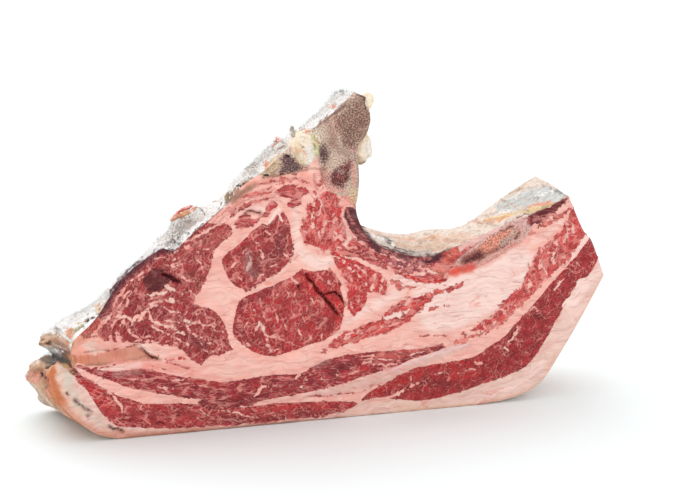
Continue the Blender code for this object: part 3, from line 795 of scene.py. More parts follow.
FAN_MARKS = (
    *marks(
        Act.FAT, Tone.SEAM, 1.3, 1, (-3, 117, 3, 111, 8, 106, 13, 101.5, 17, 97, 19, 92),
        (24, 101, 23, 95, 21.5, 90), (29.5, 99, 28.5, 93, 27, 87),
    ),
    *marks(
        Act.FAT, Tone.VEIN, 0.8, 1, (0, 103, 3, 98, 5, 92, 6.5, 87), (6, 101, 9, 96, 10, 90),
        (10, 90, 13, 85, 12, 79), (12, 99, 15, 94), (2, 112, 8, 109, 14, 105, 20, 101),
        (7, 83, 9, 78), (-2, 108, 2, 103),
    ),
    *marks(
        Act.LEAN_SPOT, Tone.PINK_LEAN, 0, 1, (38, 94, 40, 96, 43, 91, 41, 87.5, 39, 90),
        (35, 96, 36.5, 96.5, 37, 93, 35.5, 92),
    ),
    *marks(Act.FAT, Tone.CREAM, 3.2, 1, (28, 69, 36, 70.5, 44, 71.5, 49, 76)),
    *marks(
        Act.FAT, Tone.VEIN, 0.8, 1, (2, 57, 10, 59, 20, 61), (24, 64, 34, 63.5, 42, 66),
        (4, 60.5, 14, 62), (34, 76, 42, 78, 50, 80),
    ),
    *marks(
        Act.LEAN, Tone.PINK_LEAN, 1.5, 1, (-15, 47.5, -9, 50),
        (48, 83.5, 60, 84.5, 72, 87.8, 85, 90),
    ),
    *wash(
        Tone.CREAM, 8, 1,
        (55, 86, 75, 91, 95, 98, 120, 108, 132, 105, 128, 90, 112, 76, 95, 66, 70, 60, 58, 68,
         55, 86),
    ),
    *wash(Tone.CREAM, 7, 0.9, (6, 71, 18, 77, 30, 82, 40, 86), (40, 96, 60, 91, 74, 91)),
    *wash(Tone.BLUSH, 5, 0.35, (50, 56, 66, 54, 82, 56), (118, 88, 126, 98)),
    *marks(
        Act.LEAN, Tone.PINK_LEAN, 0.5, 1, (54, 55, 66, 54.5, 76, 53.5), (62, 73, 70, 75, 78, 74),
        (40, 50, 48, 49), (44, 90.4, 54, 89.8),
    ),
    *wash(
        Tone.TAN_SPOT, 1.4, 0.6, (113.6, 84, 114.6, 83.6), (66, 68.6, 67, 68.4),
        (79, 64, 79.6, 64),
    ),
)
STRAP_MARKS = (
    *wash(Tone.DEEP_RED, 2.6, 0.8, (-150, 38, -130, 32.5, -110, 27, -90, 22, -66, 18.5)),
    *wash(Tone.CAP_DARK, 6, 0.5, (-4, 36, 8, 38), (-58, 19, -52, 19)),
    *wash(Tone.RED, 5, 0.6, (-58, 29.5, -52, 29), (4, 30, 18, 35), (-100, 38, -80, 32)),
    *wash(Tone.PINK_LEAN, 6, 0.7, (26, 42, 40, 43, 55, 44)),
    *wash(Tone.GREY_FAT, 4, 0.45, (-18, 40, -8, 42), (-150, 46, -135, 46)),
    *marks(
        Act.FAT, Tone.SEAM, 2.2, 1, (-61, 21, -57, 24, -54, 27, -50, 28.5), (-31, 32, -28, 34.5),
    ),
    *marks(
        Act.FAT, Tone.VEIN, 1.1, 1, (18, 41.5, 30, 40.4, 42, 38), (22, 37, 34, 36, 43, 36.5),
        (12, 44, 26, 43.6), (28, 33.5, 36, 34), (-50, 28.5, -42, 28), (-114, 38, -104, 38.4),
        (-112, 34.5, -100, 35.5), (-100, 33.5, -88, 31), (48, 41.5, 60, 43.5), (6, 32, 16, 33.5),
        (14, 38.6, 22, 39), (-140, 41, -128, 40), (-124, 35, -114, 32),
    ),
    *marks(Act.FAT, Tone.FLECK, 1.9, 1, (-28.4, 25, -26.6, 25.8), (-2.4, 32, -1.4, 32.4)),
    *marks(
        Act.FAT, Tone.FLECK, 1, 1, (-38, 29, -35, 29.5), (-17, 34, -15.6, 35),
        (-24, 30, -22.6, 30.5), (-13, 30, -12, 31),
    ),
    *marks(Act.LEAN, Tone.DEEP_RED, 1.6, 1, (46, 39.8, 56, 41.8, 66, 44.2, 74, 45)),
    *marks(
        Act.LEAN_SPOT, Tone.DEEP_RED, 0, 1,
        (-98.6, 21.6, -90.5, 22.9, -79, 22.5, -69, 22.3, -60.8, 22.2, -54, 20.1, -58, 16.9,
         -62, 15.2, -75.8, 15.1, -89.3, 16.4, -93.3, 17.5),
    ),
    *marks(
        Act.LEAN, Tone.LOWER_STRAP, 3.4, 1,
        (-136, 7.8, -123, 6.4, -110, 5.4, -96, 5.1, -83, 4.9, -69, 4.7, -55.6, 3.7, -38, 4.2,
         -28, 3.9, -8, 3.2),
    ),
    *marks(
        Act.FAT_SPOT, Tone.TENDON, 0, 1,
        (-60, 17.2, -40, 18.8, -20, 20.4, 0, 24, 20, 28.5, 40, 33.5, 60, 39.5, 75, 44, 92, 47,
         93, 45, 75, 38.5, 60, 34, 45, 30, 35, 24.5, 20, 20.5, 0, 18.5, -20, 17.3, -40, 16.3),
    ),
    *wash(Tone.LILAC, 1.8, 0.8, (30, 31, 55, 37.5, 80, 44, 90, 46)),
    *wash(Tone.BLUSH, 2.2, 0.7, (-60, 16.5, -40, 17.5, -24, 18)),
    *marks(
        Act.LEAN, Tone.PINK_LEAN, 0.6, 1, (-24, 18.6, -10, 17.4, 6, 17.8, 18, 18.8),
        (-12.5, 17.4, -10.5, 16.8), (20, 21.4, 32, 23),
    ),
    *wash(
        Tone.BLUSH, 1.4, 0.6, (-100, 42, -80, 37, -60, 37, -40, 38.5, -22, 38.5),
        (-70, 44, -50, 45, -30, 46),
    ),
    *marks(
        Act.FAT, Tone.SEAM, 1.3, 1, (-97, 16.5, -93, 13, -89, 10.5),
        (-84, 14, -72, 11.8, -66, 8.5, -57, 7),
    ),
    *wash(Tone.CAP_DARK, 4, 0.5, (-84, 9, -62, 4.5, -40, 5), (-30, 6, -10, 5)),
    *wash(Tone.RED, 4, 0.5, (-60, 13, -30, 12, 6, 10), (-140, 24, -120, 20)),
    *marks(
        Act.FAT, Tone.GREY_FAT, 0.9, 1, (-10, 7, -6, 5.6), (-4, 5.4, 0, 4.2), (0.5, 5.6, 2.4, 3.6),
        (-39, 4.6, -38.2, 2.4), (-66, 5.4, -63, 4.8),
    ),
)
FLANK_MARKS = (
    *wash(Tone.EYE_BRIGHT, 7, 0.6, (24, 16, 42, 24, 60, 30, 90, 33), (80, 24, 100, 27)),
    *wash(
        Tone.CAP_DARK, 5, 0.45, (122, 47, 124, 54), (140, 63, 144, 61), (118, 40, 124, 35),
        (60, 22, 78, 18),
    ),
    *marks(Act.FAT, Tone.SEAM, 2.2, 1, (20, 10.5, 32, 11.5, 40, 14, 47, 17.5)),
    *marks(
        Act.FAT, Tone.VEIN, 1.2, 1, (47, 17.5, 51, 20, 50, 26), (51, 20, 57, 20.5),
        (128, 62, 134, 66, 139, 69, 141, 66, 145, 66),
    ),
    *marks(
        Act.FAT, Tone.SEAM, 1.6, 1, (126.5, 57, 125, 50, 122, 45.5, 117, 43.5), (117, 43, 121, 38),
        (152, 78, 155, 84, 160, 88.5),
    ),
    *marks(
        Act.FAT, Tone.VEIN, 0.8, 1, (84, 25, 92, 27, 99, 26.5), (64, 27, 72, 26),
        (96, 32, 104, 30), (160, 96, 166, 92), (168, 100, 172, 96),
    ),
    *marks(
        Act.FAT_SPOT, Tone.CREAM, 0, 1, (159, 68, 162, 73.5, 168, 75, 171, 71, 166, 66),
        (168, 77, 168.5, 84, 172, 87.5, 177, 86.5, 176, 80, 172, 76),
    ),
    *marks(
        Act.LEAN_SPOT, Tone.PINK_LEAN, 0, 1,
        (80, 47, 83, 49.8, 89, 51, 91, 49.5, 86, 48.2, 82, 46.5),
        (87, 54, 88.5, 54.6, 91, 52.4, 88.4, 51.6),
    ),
    *marks(Act.LEAN, Tone.PINK_LEAN, 1.3, 1, (90, 50.4, 95, 52, 99, 52.4)),
    *marks(
        Act.FAT, Tone.SEAM, 1.7, 1, (154, 118, 153, 111, 151, 104, 153, 98),
        (142.5, 110, 143, 103, 141.5, 96), (122, 76, 125, 72, 130, 73), (108, 58, 112, 62),
        (145, 96, 148, 91), (131, 80, 135, 84, 134, 90),
    ),
    *marks(
        Act.FAT, Tone.VEIN, 0.9, 1, (147, 112, 148, 104), (160, 130, 161, 122, 159, 114),
        (165, 128, 165, 120), (136, 100, 138, 92), (146, 88, 141, 84), (114, 70, 117, 64),
        (119, 74, 120, 68), (124, 68, 122, 63), (103, 58, 106, 56), (157, 108, 160, 102),
    ),
    *wash(
        Tone.CREAM, 5, 0.9, (170, 70, 178, 84, 185, 94), (110, 8, 130, 14, 146, 26),
        (165, 104, 176, 118),
    ),
    *wash(
        Tone.TAN_EDGE, 2.2, 1,
        (40, 1, 80, 1, 118, 3, 140, 9, 152, 20, 166, 43, 184, 77, 189.5, 89),
    ),
    *wash(Tone.TAN_EDGE, 4, 0.5, (40, 4, 60, 4), (150, 24, 156, 34)),
)
BONE_MARKS = (
    *wash(Tone.BEIGE, 6, 0.8, (-15, 200, -9, 197), (-8, 178, -2, 179)),
    *wash(Tone.SPONGE_PINK, 5, 0.5, (-8, 206, -5, 198, -4, 190), (-12, 174, -10, 168)),
    *wash(Tone.SPONGE, 5, 0.55, (-6, 194, 0, 187, 6, 184), (0, 216, 8, 218)),
    *marks(
        Act.LEAN_SPOT, Tone.SPONGE, 0, 1,
        (-4.5, 209, 1, 213, 8, 217, 12, 223, 18, 221.5, 17.5, 216, 21, 211, 21, 204, 18, 197.5,
         15, 193.5, 11, 188.5, 7, 187, 3, 189.5, 0.5, 196, -3, 200),
    ),
    *marks(
        Act.LEAN_SPOT, Tone.SPONGE_DARK, 0, 1,
        (-14.4, 190.5, -9, 191.5, -7, 186, -8.3, 179, -11, 177, -13.6, 182),
    ),
    *marks(
        Act.LEAN_SPOT, Tone.SPONGE_RED, 0, 1,
        (-7.8, 168, -6, 173, -2, 176.5, 3, 180, 8.4, 180.5, 8.6, 176, 7.2, 171, 5.4, 166, 2, 162,
         -3, 162, -6.8, 165),
    ),
    *wash(Tone.CAP_PINK, 3, 0.55, (-4, 209, -3, 203, -1.5, 197)),
    *wash(
        Tone.MARROW_DARK, 5, 0.25, (4, 195, 8, 201, 15, 206), (5, 191, 10, 189),
        (-10, 189, -11, 182),
    ),
    *wash(Tone.MARROW_DARK, 1.5, 0.85, (12, 223, 16, 221.6, 17.4, 216, 17.6, 213.6)),
    *wash(Tone.BROWN, 1.3, 0.9, (20.4, 211, 20.8, 205, 18.4, 198, 14.4, 193)),
    # Painted shade in a crease along the crust's edge.
    *wash(Tone.CREVICE_SHADE, 1.3, 0.8, (-20, 199.6, -10, 207, -4, 211, 4, 217)),
    *wash(Tone.STRAW, 4, 0.7, (8.6, 160, 9, 152)),
    *wash(Tone.BLUSH, 2.6, 0.7, (8, 178, 9.6, 171, 9, 163), (-6, 160.5, 2, 160), (5, 193, 9, 186)),
    *wash(Tone.GREY, 1.1, 0.75, (9.6, 187, 10.6, 178, 12.4, 172, 12.6, 162)),
    *wash(Tone.BLOOD, 4.6, 0.95, (79, 99, 86, 99.8, 93, 101.4)),
    *wash(Tone.FLUSH_RED, 3.4, 0.5, (72, 96, 84, 97.4, 96, 100.6, 106, 104.6, 116, 109.6)),
    *wash(Tone.GRISTLE, 9, 1, (-28, 188, -21, 188, -18, 197)),
    *wash(Tone.LIME, 2, 0.8, (-18, 198, -15.4, 192, -15, 186)),
    *wash(Tone.MARROW_DARK, 3, 0.55, (6, 178, 4, 168), (-5, 170, 0, 165)),
    *wash(Tone.SPONGE_GREY, 2.2, 0.5, (-3, 175, 2, 172)),
    *marks(
        Act.LEAN_SPOT, Tone.SPONGE_DARK, 0, 1,
        (-41, 173.5, -40, 180, -38.6, 185.5, -34, 187.5, -30, 183.6, -25.5, 178.5, -26, 174.5,
         -33, 173),
    ),
    *wash(Tone.STRAW, 6, 0.6, (-50, 176, -43, 180)),
    *wash(Tone.SPONGE, 2.6, 0.6, (-49, 177, -44, 181), (-45, 174, -42, 176)),
    *wash(Tone.BROWN, 2.6, 0.8, (-72, 156.6, -66, 162, -60, 166)),
    *wash(Tone.BROWN, 1.3, 0.8, (-52, 171.6, -40, 172.6, -30, 174, -20, 176, -9, 175)),
    *marks(Act.CLEFT, Tone.BLACK, 1.6, 1, (-50.5, 173, -47.5, 172.2)),
    *marks(
        Act.CLEFT, Tone.BLACK, 0.8, 1, (-40, 172.8, -37, 173.2), (-36, 186, -34, 184.4),
        (-25, 178.6, -22, 177.8),
    ),
)
MARKS = (
    *CAP_MARKS,
    *LEFT_MARKS,
    *EYE_MARKS,
    *TOP_MARKS,
    *RIB_MARKS,
    *FAN_MARKS,
    *STRAP_MARKS,
    *FLANK_MARKS,
    *BONE_MARKS,
)


# ------------ polylines


def smooth_path(path: Sequence[Point], pitch: float = 1.5) -> Array:
    """Run a smooth line through the points of a path.

    Args:
        path: The points.
        pitch: About how far apart the line's own points are, in millimetres.

    Returns:
        The points of the line.
    """
    points = np.array(path, float)
    if len(points) < 3:
        return points
    padded = np.vstack([2 * points[0] - points[1], points, 2 * points[-1] - points[-2]])
    rows = []
    for index in range(1, len(points)):
        p0, p1, p2, p3 = padded[index - 1 : index + 3]
        count = max(1, round(float(np.hypot(*(p2 - p1))) / pitch))
        t = np.linspace(0, 1, count, endpoint=False)[:, None]
        bend = (2 * p0 - 5 * p1 + 4 * p2 - p3) * t**2
        twist = (3 * p1 - p0 - 3 * p2 + p3) * t**3
        rows.append(0.5 * (2 * p1 + (p2 - p0) * t + bend + twist))
    return np.vstack([*rows, points[-1:]])


def to_line(flat: Array, line: Array) -> tuple[Array, Array]:
    """Measure how far points are from a line.

    Args:
        flat: The points.
        line: The points of the line.

    Returns:
        Each point's distance, and how far along the line its nearest place is, 0 to 1.
    """
    closest = np.full(len(flat), np.inf)
    along = np.zeros(len(flat))
    lengths = np.hypot(*np.diff(line, axis=0).T)
    gone = np.concatenate([[0.0], np.cumsum(lengths)])
    for index, (start, stop) in enumerate(zip(line, line[1:])):
        leg = stop - start
        share = np.clip((flat - start) @ leg / max(float(leg @ leg), 1e-9), 0.0, 1.0)
        away = np.hypot(*(flat - start - share[:, None] * leg).T)
        closer = away < closest
        closest = np.where(closer, away, closest)
        along = np.where(closer, gone[index] + share * lengths[index], along)
    return closest, along / max(float(gone[-1]), 1e-9)


def inside_outline(flat: Array, outline: Array) -> Array:
    """Tell which points lie inside a closed outline.

    Args:
        flat: The points.
        outline: The points of the outline.

    Returns:
        True for each point inside.
    """
    within = np.zeros(len(flat), bool)
    for start, stop in zip(outline, np.roll(outline, -1, axis=0)):
        if start[1] == stop[1]:
            continue
        crosses = (start[1] > flat[:, 1]) != (stop[1] > flat[:, 1])
        at = start[0] + (flat[:, 1] - start[1]) * (stop[0] - start[0]) / (stop[1] - start[1])
        within ^= crosses & (flat[:, 0] < at)
    return within


class Surface:
    """Points that marks are painted on, with their edges frayed by noise."""

    margin = 4.0
    no_cleft = -3.0

    def __init__(self, bent: Array) -> None:
        """Start with no split and no swelling.

        Args:
            bent: Each point's place, frayed.
        """
        self.bent = bent
        self.cleft = np.full(len(bent), self.no_cleft)
        self.lift = np.zeros(len(bent))

    def reached(
        self, mark: Mark, path: Path, closed: bool, chosen: Array | bool = True
    ) -> tuple[Array, Array, Array]:
        """Measure how a mark lies to the points near it.

        Args:
            mark: The mark.
            path: The path to take, smoothed.
            closed: Whether the path runs round an area.
            chosen: Which points may be painted.

        Returns:
            The places of the near points, how far each is from the path, below 0 inside an
            area, and how far along the path it is, 0 to 1.
        """
        line = smooth_path(path)
        margin = mark.width + self.margin
        near = (self.bent > line.min(axis=0) - margin) & (self.bent < line.max(axis=0) + margin)
        where = np.flatnonzero(near.all(axis=1) & chosen)
        if not len(where):
            return where, np.zeros(0), np.zeros(0)
        away, along = to_line(self.bent[where], line)
        if closed:
            away = np.where(inside_outline(self.bent[where], line), -away, away)
        return where, away, along

    def blend(self, colours: Array, share: Array, tone: Tone, where: Array) -> None:
        """Mix a tone into some rows of a table of colours."""
        share = np.clip(share, 0.0, 1.0)[:, None]
        colours[where] = colours[where] * (1 - share) + np.array(tone.light) * share


class Canvas(Surface):
    """The values that the marks paint on one piece's cut face."""

    thinning = 0.75
    cleft_depth = 1.6

    def __init__(self, flat: Array, cut: Cut, fatness: Array, beside: Array) -> None:
        """Start from the piece's own colours.

        Args:
            flat: The drawing place of each point.
            cut: The piece.
            fatness: How deep each point is in fat, in millimetres, below 0 in lean.
            beside: The place in CUTS of the lean piece nearest to each point.
        """
        wobble = noise_columns(flat / 5.0, 1, 2)
        ripple = noise_columns(flat / 1.9, 3, 4)
        super().__init__(flat + 0.9 * wobble + 0.4 * ripple)
        self.flat = flat
        self.lean_tint = np.tile(cut.lean.light, (len(flat), 1))
        self.rag = np.full(len(flat), cut.rag)
        if cut.kind in FAT_KINDS:
            self.lean_tint = np.array([piece.lean.light for piece in CUTS])[beside]
            self.rag = np.array([piece.rag for piece in CUTS])[beside]
        self.fat_tint = np.tile(cut.fat.light, (len(flat), 1))
        self.fatness = fatness.copy()

    def paint(self, mark: Mark) -> None:
        """Put one mark on the canvas.

        Args:
            mark: The mark.
        """
        spot = mark.act in (Act.FAT_SPOT, Act.LEAN_SPOT)
        path = (*mark.path, mark.path[0]) if spot else mark.path
        closed = spot or (mark.act is Act.WASH and path[0] == path[-1])
        where, away, along = self.reached(mark, path, closed)
        if mark.act is Act.WASH:
            share = mark.strength * (1.0 - smooth_step(0.0, mark.width, away))
            if mark.tone not in FAT_TONES:
                self.blend(self.lean_tint, share, mark.tone, where)
            if mark.tone not in LEAN_TONES:
                self.blend(self.fat_tint, share, mark.tone, where)
            return
        taper = 1.0 - self.thinning * np.abs(2.0 * along - 1.0) ** 3
        depth = -away if spot else mark.width / 2 * taper - away
        share = mark.strength * smooth_step(-1.0, 0.0, depth)
        if mark.act in (Act.FAT, Act.FAT_SPOT):
            self.fatness[where] = np.maximum(self.fatness[where], depth)
            self.blend(self.fat_tint, share, mark.tone, where)
        elif mark.act in (Act.LEAN, Act.LEAN_SPOT):
            self.fatness[where] = np.minimum(self.fatness[where], -depth)
            self.blend(self.lean_tint, share, mark.tone, where)
        else:
            # A split: a groove, and a value that the finish paints dark as shade.
            self.cleft[where] = np.maximum(self.cleft[where], depth)
            self.lift[where] -= self.cleft_depth * smooth_step(-0.6, 0.4, depth)


class Skin(Surface):
    """The values that the marks paint on the outside of the slice."""

    wash_off = 0.85

    def __init__(self, seen: Array, back: Array, tint: Array, mould: Array, dirt: Array) -> None:
        """Start from the colours of the side.

        Args:
            seen: The place of each point on the drawing, as the marks are given.
            back: How far each point lies behind the front cut, in millimetres.
            tint: Each point's colour.
            mould: How far each point is covered in mould, 0 to 1.
            dirt: How far each point is speckled, 0 to 1.
        """
        spots = np.column_stack([seen, back])
        wobble = noise_columns(spots / (4.5, 4.5, 7.0), 31, 32)
        ripple = noise_columns(spots / (1.8, 1.8, 2.6), 33, 34)
        super().__init__(seen + 1.3 * wobble + 0.6 * ripple)
        self.seen = seen
        self.tint = tint
        self.mould = mould
        self.dirt = dirt

    def paint(self, mark: Mark, chosen: Array | bool = True) -> None:
        """Put one mark on the chosen points.

        Args:
            mark: The mark.
            chosen: Which points it may reach.
        """
        closed = mark.path[0] == mark.path[-1]
        where, away, _ = self.reached(mark, mark.path, closed, chosen)
        share = mark.strength * (1.0 - smooth_step(0.0, mark.width, away))
        if mark.act is Act.RAISE:
            self.lift[where] += share
        elif mark.act is Act.CLEFT:
            # Cracks, which the finish paints black as shade.
            self.cleft[where] = np.maximum(self.cleft[where], mark.width / 2 - away)
        elif mark.act is Act.DIRT:
            self.dirt[where] += share
        elif mark.act is Act.MOULD:
            self.mould[where] += (1.0 - self.mould[where]) * share
        else:
            self.blend(self.tint, share, mark.tone, where)
            self.mould[where] *= 1.0 - self.wash_off * share


# ------------ node trees


class Shade:
    """A value or a colour on its way through a node tree."""

    def __init__(self, tree: "Tree", socket: bpy.types.NodeSocket) -> None:
        """Wrap an output socket of the tree."""
        self.tree = tree
        self.socket = socket

    def maths(self, operation: str, *others: "Shade | float") -> "Shade":
        """Add a Math node that starts with this value."""
        return self.tree.maths(operation, self, *others)

    def __add__(self, other: "Shade | float") -> "Shade":
        """Add."""
        return self.maths("ADD", other)

    __radd__ = __add__

    def __mul__(self, other: "Shade | float") -> "Shade":
        """Multiply."""
        return self.maths("MULTIPLY", other)

    __rmul__ = __mul__

    def __sub__(self, other: "Shade | float") -> "Shade":
        """Subtract."""
        return self.maths("SUBTRACT", other)

    def __rsub__(self, other: "Shade | float") -> "Shade":
        """Subtract this value from another."""
        return self.tree.maths("SUBTRACT", other, self)

    def __truediv__(self, other: "Shade | float") -> "Shade":
        """Divide."""
        return self.maths("DIVIDE", other)

    def __abs__(self) -> "Shade":
        """Drop the sign."""
        return self.maths("ABSOLUTE")

    def most(self, other: "Shade | float") -> "Shade":
        """The larger of two values."""
        return self.maths("MAXIMUM", other)

    def lightness(self) -> "Shade":
        """How light a colour is, as a value."""
        return self.maths("ADD", 0.0)

    def ease(self, low: float, high: float) -> "Shade":
        """Run from 0 at low to 1 at high, with soft ends."""
        return self.tree.node(
            "ShaderNodeMapRange",
            {"interpolation_type": "SMOOTHSTEP"},
            {"Value": self, "From Min": low, "From Max": high},
        )


Colour = Shade | Tone | tuple[float, ...]


def add_node(
    tree: bpy.types.NodeTree,
    kind: str,
    settings: dict[str, object] | None = None,
    inputs: dict[str | int, object] | None = None,
) -> bpy.types.Node:
    """Add a node to a tree.

    Args:
        tree: The tree, of a material or of Geometry Nodes.
        kind: The node's type.
        settings: Its own settings, set first.
        inputs: Values, tones or links for its sockets.

    Returns:
        The node.
    """
    made = tree.nodes.new(kind)
    for name, value in (settings or {}).items():
        setattr(made, name, value)
    for name, value in (inputs or {}).items():
        value = value.socket if isinstance(value, Shade) else value
        if isinstance(value, bpy.types.NodeSocket):
            tree.links.new(value, made.inputs[name])
        else:
            plain = (*value.light, 1.0) if isinstance(value, Tone) else value
            made.inputs[name].default_value = plain
    return made


class Tree:
    """The node tree of one material."""

    def __init__(self, name: str) -> None:
        """Make an empty material of this name.

        Args:
            name: The material's name.
        """
        self.material = bpy.data.materials.new(name)
        self.material.use_nodes = True
        self.material.node_tree.nodes.clear()

    def node(
        self,
        kind: str,
        settings: dict[str, object] | None = None,
        inputs: dict[str | int, object] | None = None,
        output: str | int = 0,
    ) -> Shade:
        """Add a node, as add_node does, and hand back one of its outputs."""
        made = add_node(self.material.node_tree, kind, settings, inputs)
        return Shade(self, made.outputs[output])

    def maths(self, operation: str, *values: Shade | float) -> Shade:
        """Add a Math node."""
        return self.node("ShaderNodeMath", {"operation": operation}, dict(enumerate(values)))

    def vector(self, operation: str, first: object, second: object) -> Shade:
        """Add a Vector Math node, which for SCALE takes a number as its second value."""
        slot = "Scale" if operation == "SCALE" else 1
        return self.node(
            "ShaderNodeVectorMath", {"operation": operation}, {0: first, slot: second}
        )

    def mix(self, factor: Shade | float, low: Colour, high: Colour) -> Shade:
        """Mix two colours."""
        settings = {"data_type": "RGBA", "clamp_factor": True}
        return self.node("ShaderNodeMix", settings, {0: factor, 6: low, 7: high}, 2)

    def even(self, tone: Tone) -> Shade:
        """A tone that stays the same all over, for nodes that change it."""
        return self.vector("ADD", tone.light, (0.0, 0.0, 0.0))

    def brighten(self, colour: Shade, amount: Shade) -> Shade:
        """Multiply a colour by a value."""
        return self.vector("SCALE", colour, amount)

    def place(self) -> Shade:
        """Object coordinates in millimetres."""
        return self.vector("SCALE", self.node("ShaderNodeTexCoord", output="Object"), 1 / MM)

    def read(self, name: str, output: str = "Fac") -> Shade:
        """Read an attribute of the mesh."""
        return self.node("ShaderNodeAttribute", {"attribute_name": name}, output=output)

    def swayed(self, spot: Shade, size: float, reach: float) -> Shade:
        """Push a place to and fro by this many millimetres, in waves of this size.

        Args:
            spot: The place.
            size: How wide the waves are, in millimetres.
            reach: How far they push it.

        Returns:
            The new place.
        """
        waves = {"Vector": spot, "Scale": 1 / size, "Detail": 1.0}
        push = self.node("ShaderNodeTexNoise", inputs=waves, output="Color")
        centred = self.vector("SUBTRACT", push, (0.5, 0.5, 0.5))
        return self.vector("ADD", spot, self.vector("SCALE", centred, 2.0 * reach))

    def clouds(
        self, spot: Shade, size: float, detail: float = 2.0, twist: float = 0.0, rough: float = 0.5
    ) -> Shade:
        """Add noise, 0 to 1.

        Args:
            spot: Where it is read.
            size: How wide its cells are, in millimetres.
            detail: How many finer layers it has.
            twist: How far it is distorted.
            rough: How strong the finer layers are.

        Returns:
            The noise.
        """
        inputs = {"Scale": 1 / size, "Detail": detail, "Roughness": rough, "Distortion": twist}
        return self.node("ShaderNodeTexNoise", inputs={"Vector": spot, **inputs})

    def threads(
        self, noise_field: Shade, half_width: Shade | float, low: float = 0.2, high: float = 1.6
    ) -> Shade:
        """Draw thin lines where noise is near its middle.

        Args:
            noise_field: The noise.
            half_width: How far from its middle a line reaches.
            low: Where a line starts to fade, in half widths.
            high: Where it has gone.

        Returns:
            1 on a line, 0 away from it.
        """
        return 1 - (abs(noise_field - 0.5) / half_width).ease(low, high)

    def cells(self, spot: Shade, size: float, feature: str = "F1", output: str = "Color") -> Shade:
        """A pattern of cells this many millimetres wide."""
        inputs = {"Vector": spot, "Scale": 1 / size}
        return self.node("ShaderNodeTexVoronoi", {"feature": feature}, inputs, output)

    def finish(
        self, colour: Shade, roughness: Shade, height: Shade | float, specular: float
    ) -> bpy.types.Material:
        """Join the shader up.

        Args:
            colour: The base colour.
            roughness: The roughness.
            height: The fine relief, in millimetres.
            specular: How strongly it reflects.

        Returns:
            The material.
        """
        relief = {"Height": height, "Strength": 1.0, "Distance": MM}
        bump = self.node("ShaderNodeBump", None, relief)
        inputs = {"Base Color": colour, "Roughness": roughness, "Normal": bump}
        inputs["Specular IOR Level"] = specular
        shader = self.node("ShaderNodeBsdfPrincipled", None, inputs)
        add_node(self.material.node_tree, "ShaderNodeOutputMaterial", None, {"Surface": shader})
        return self.material


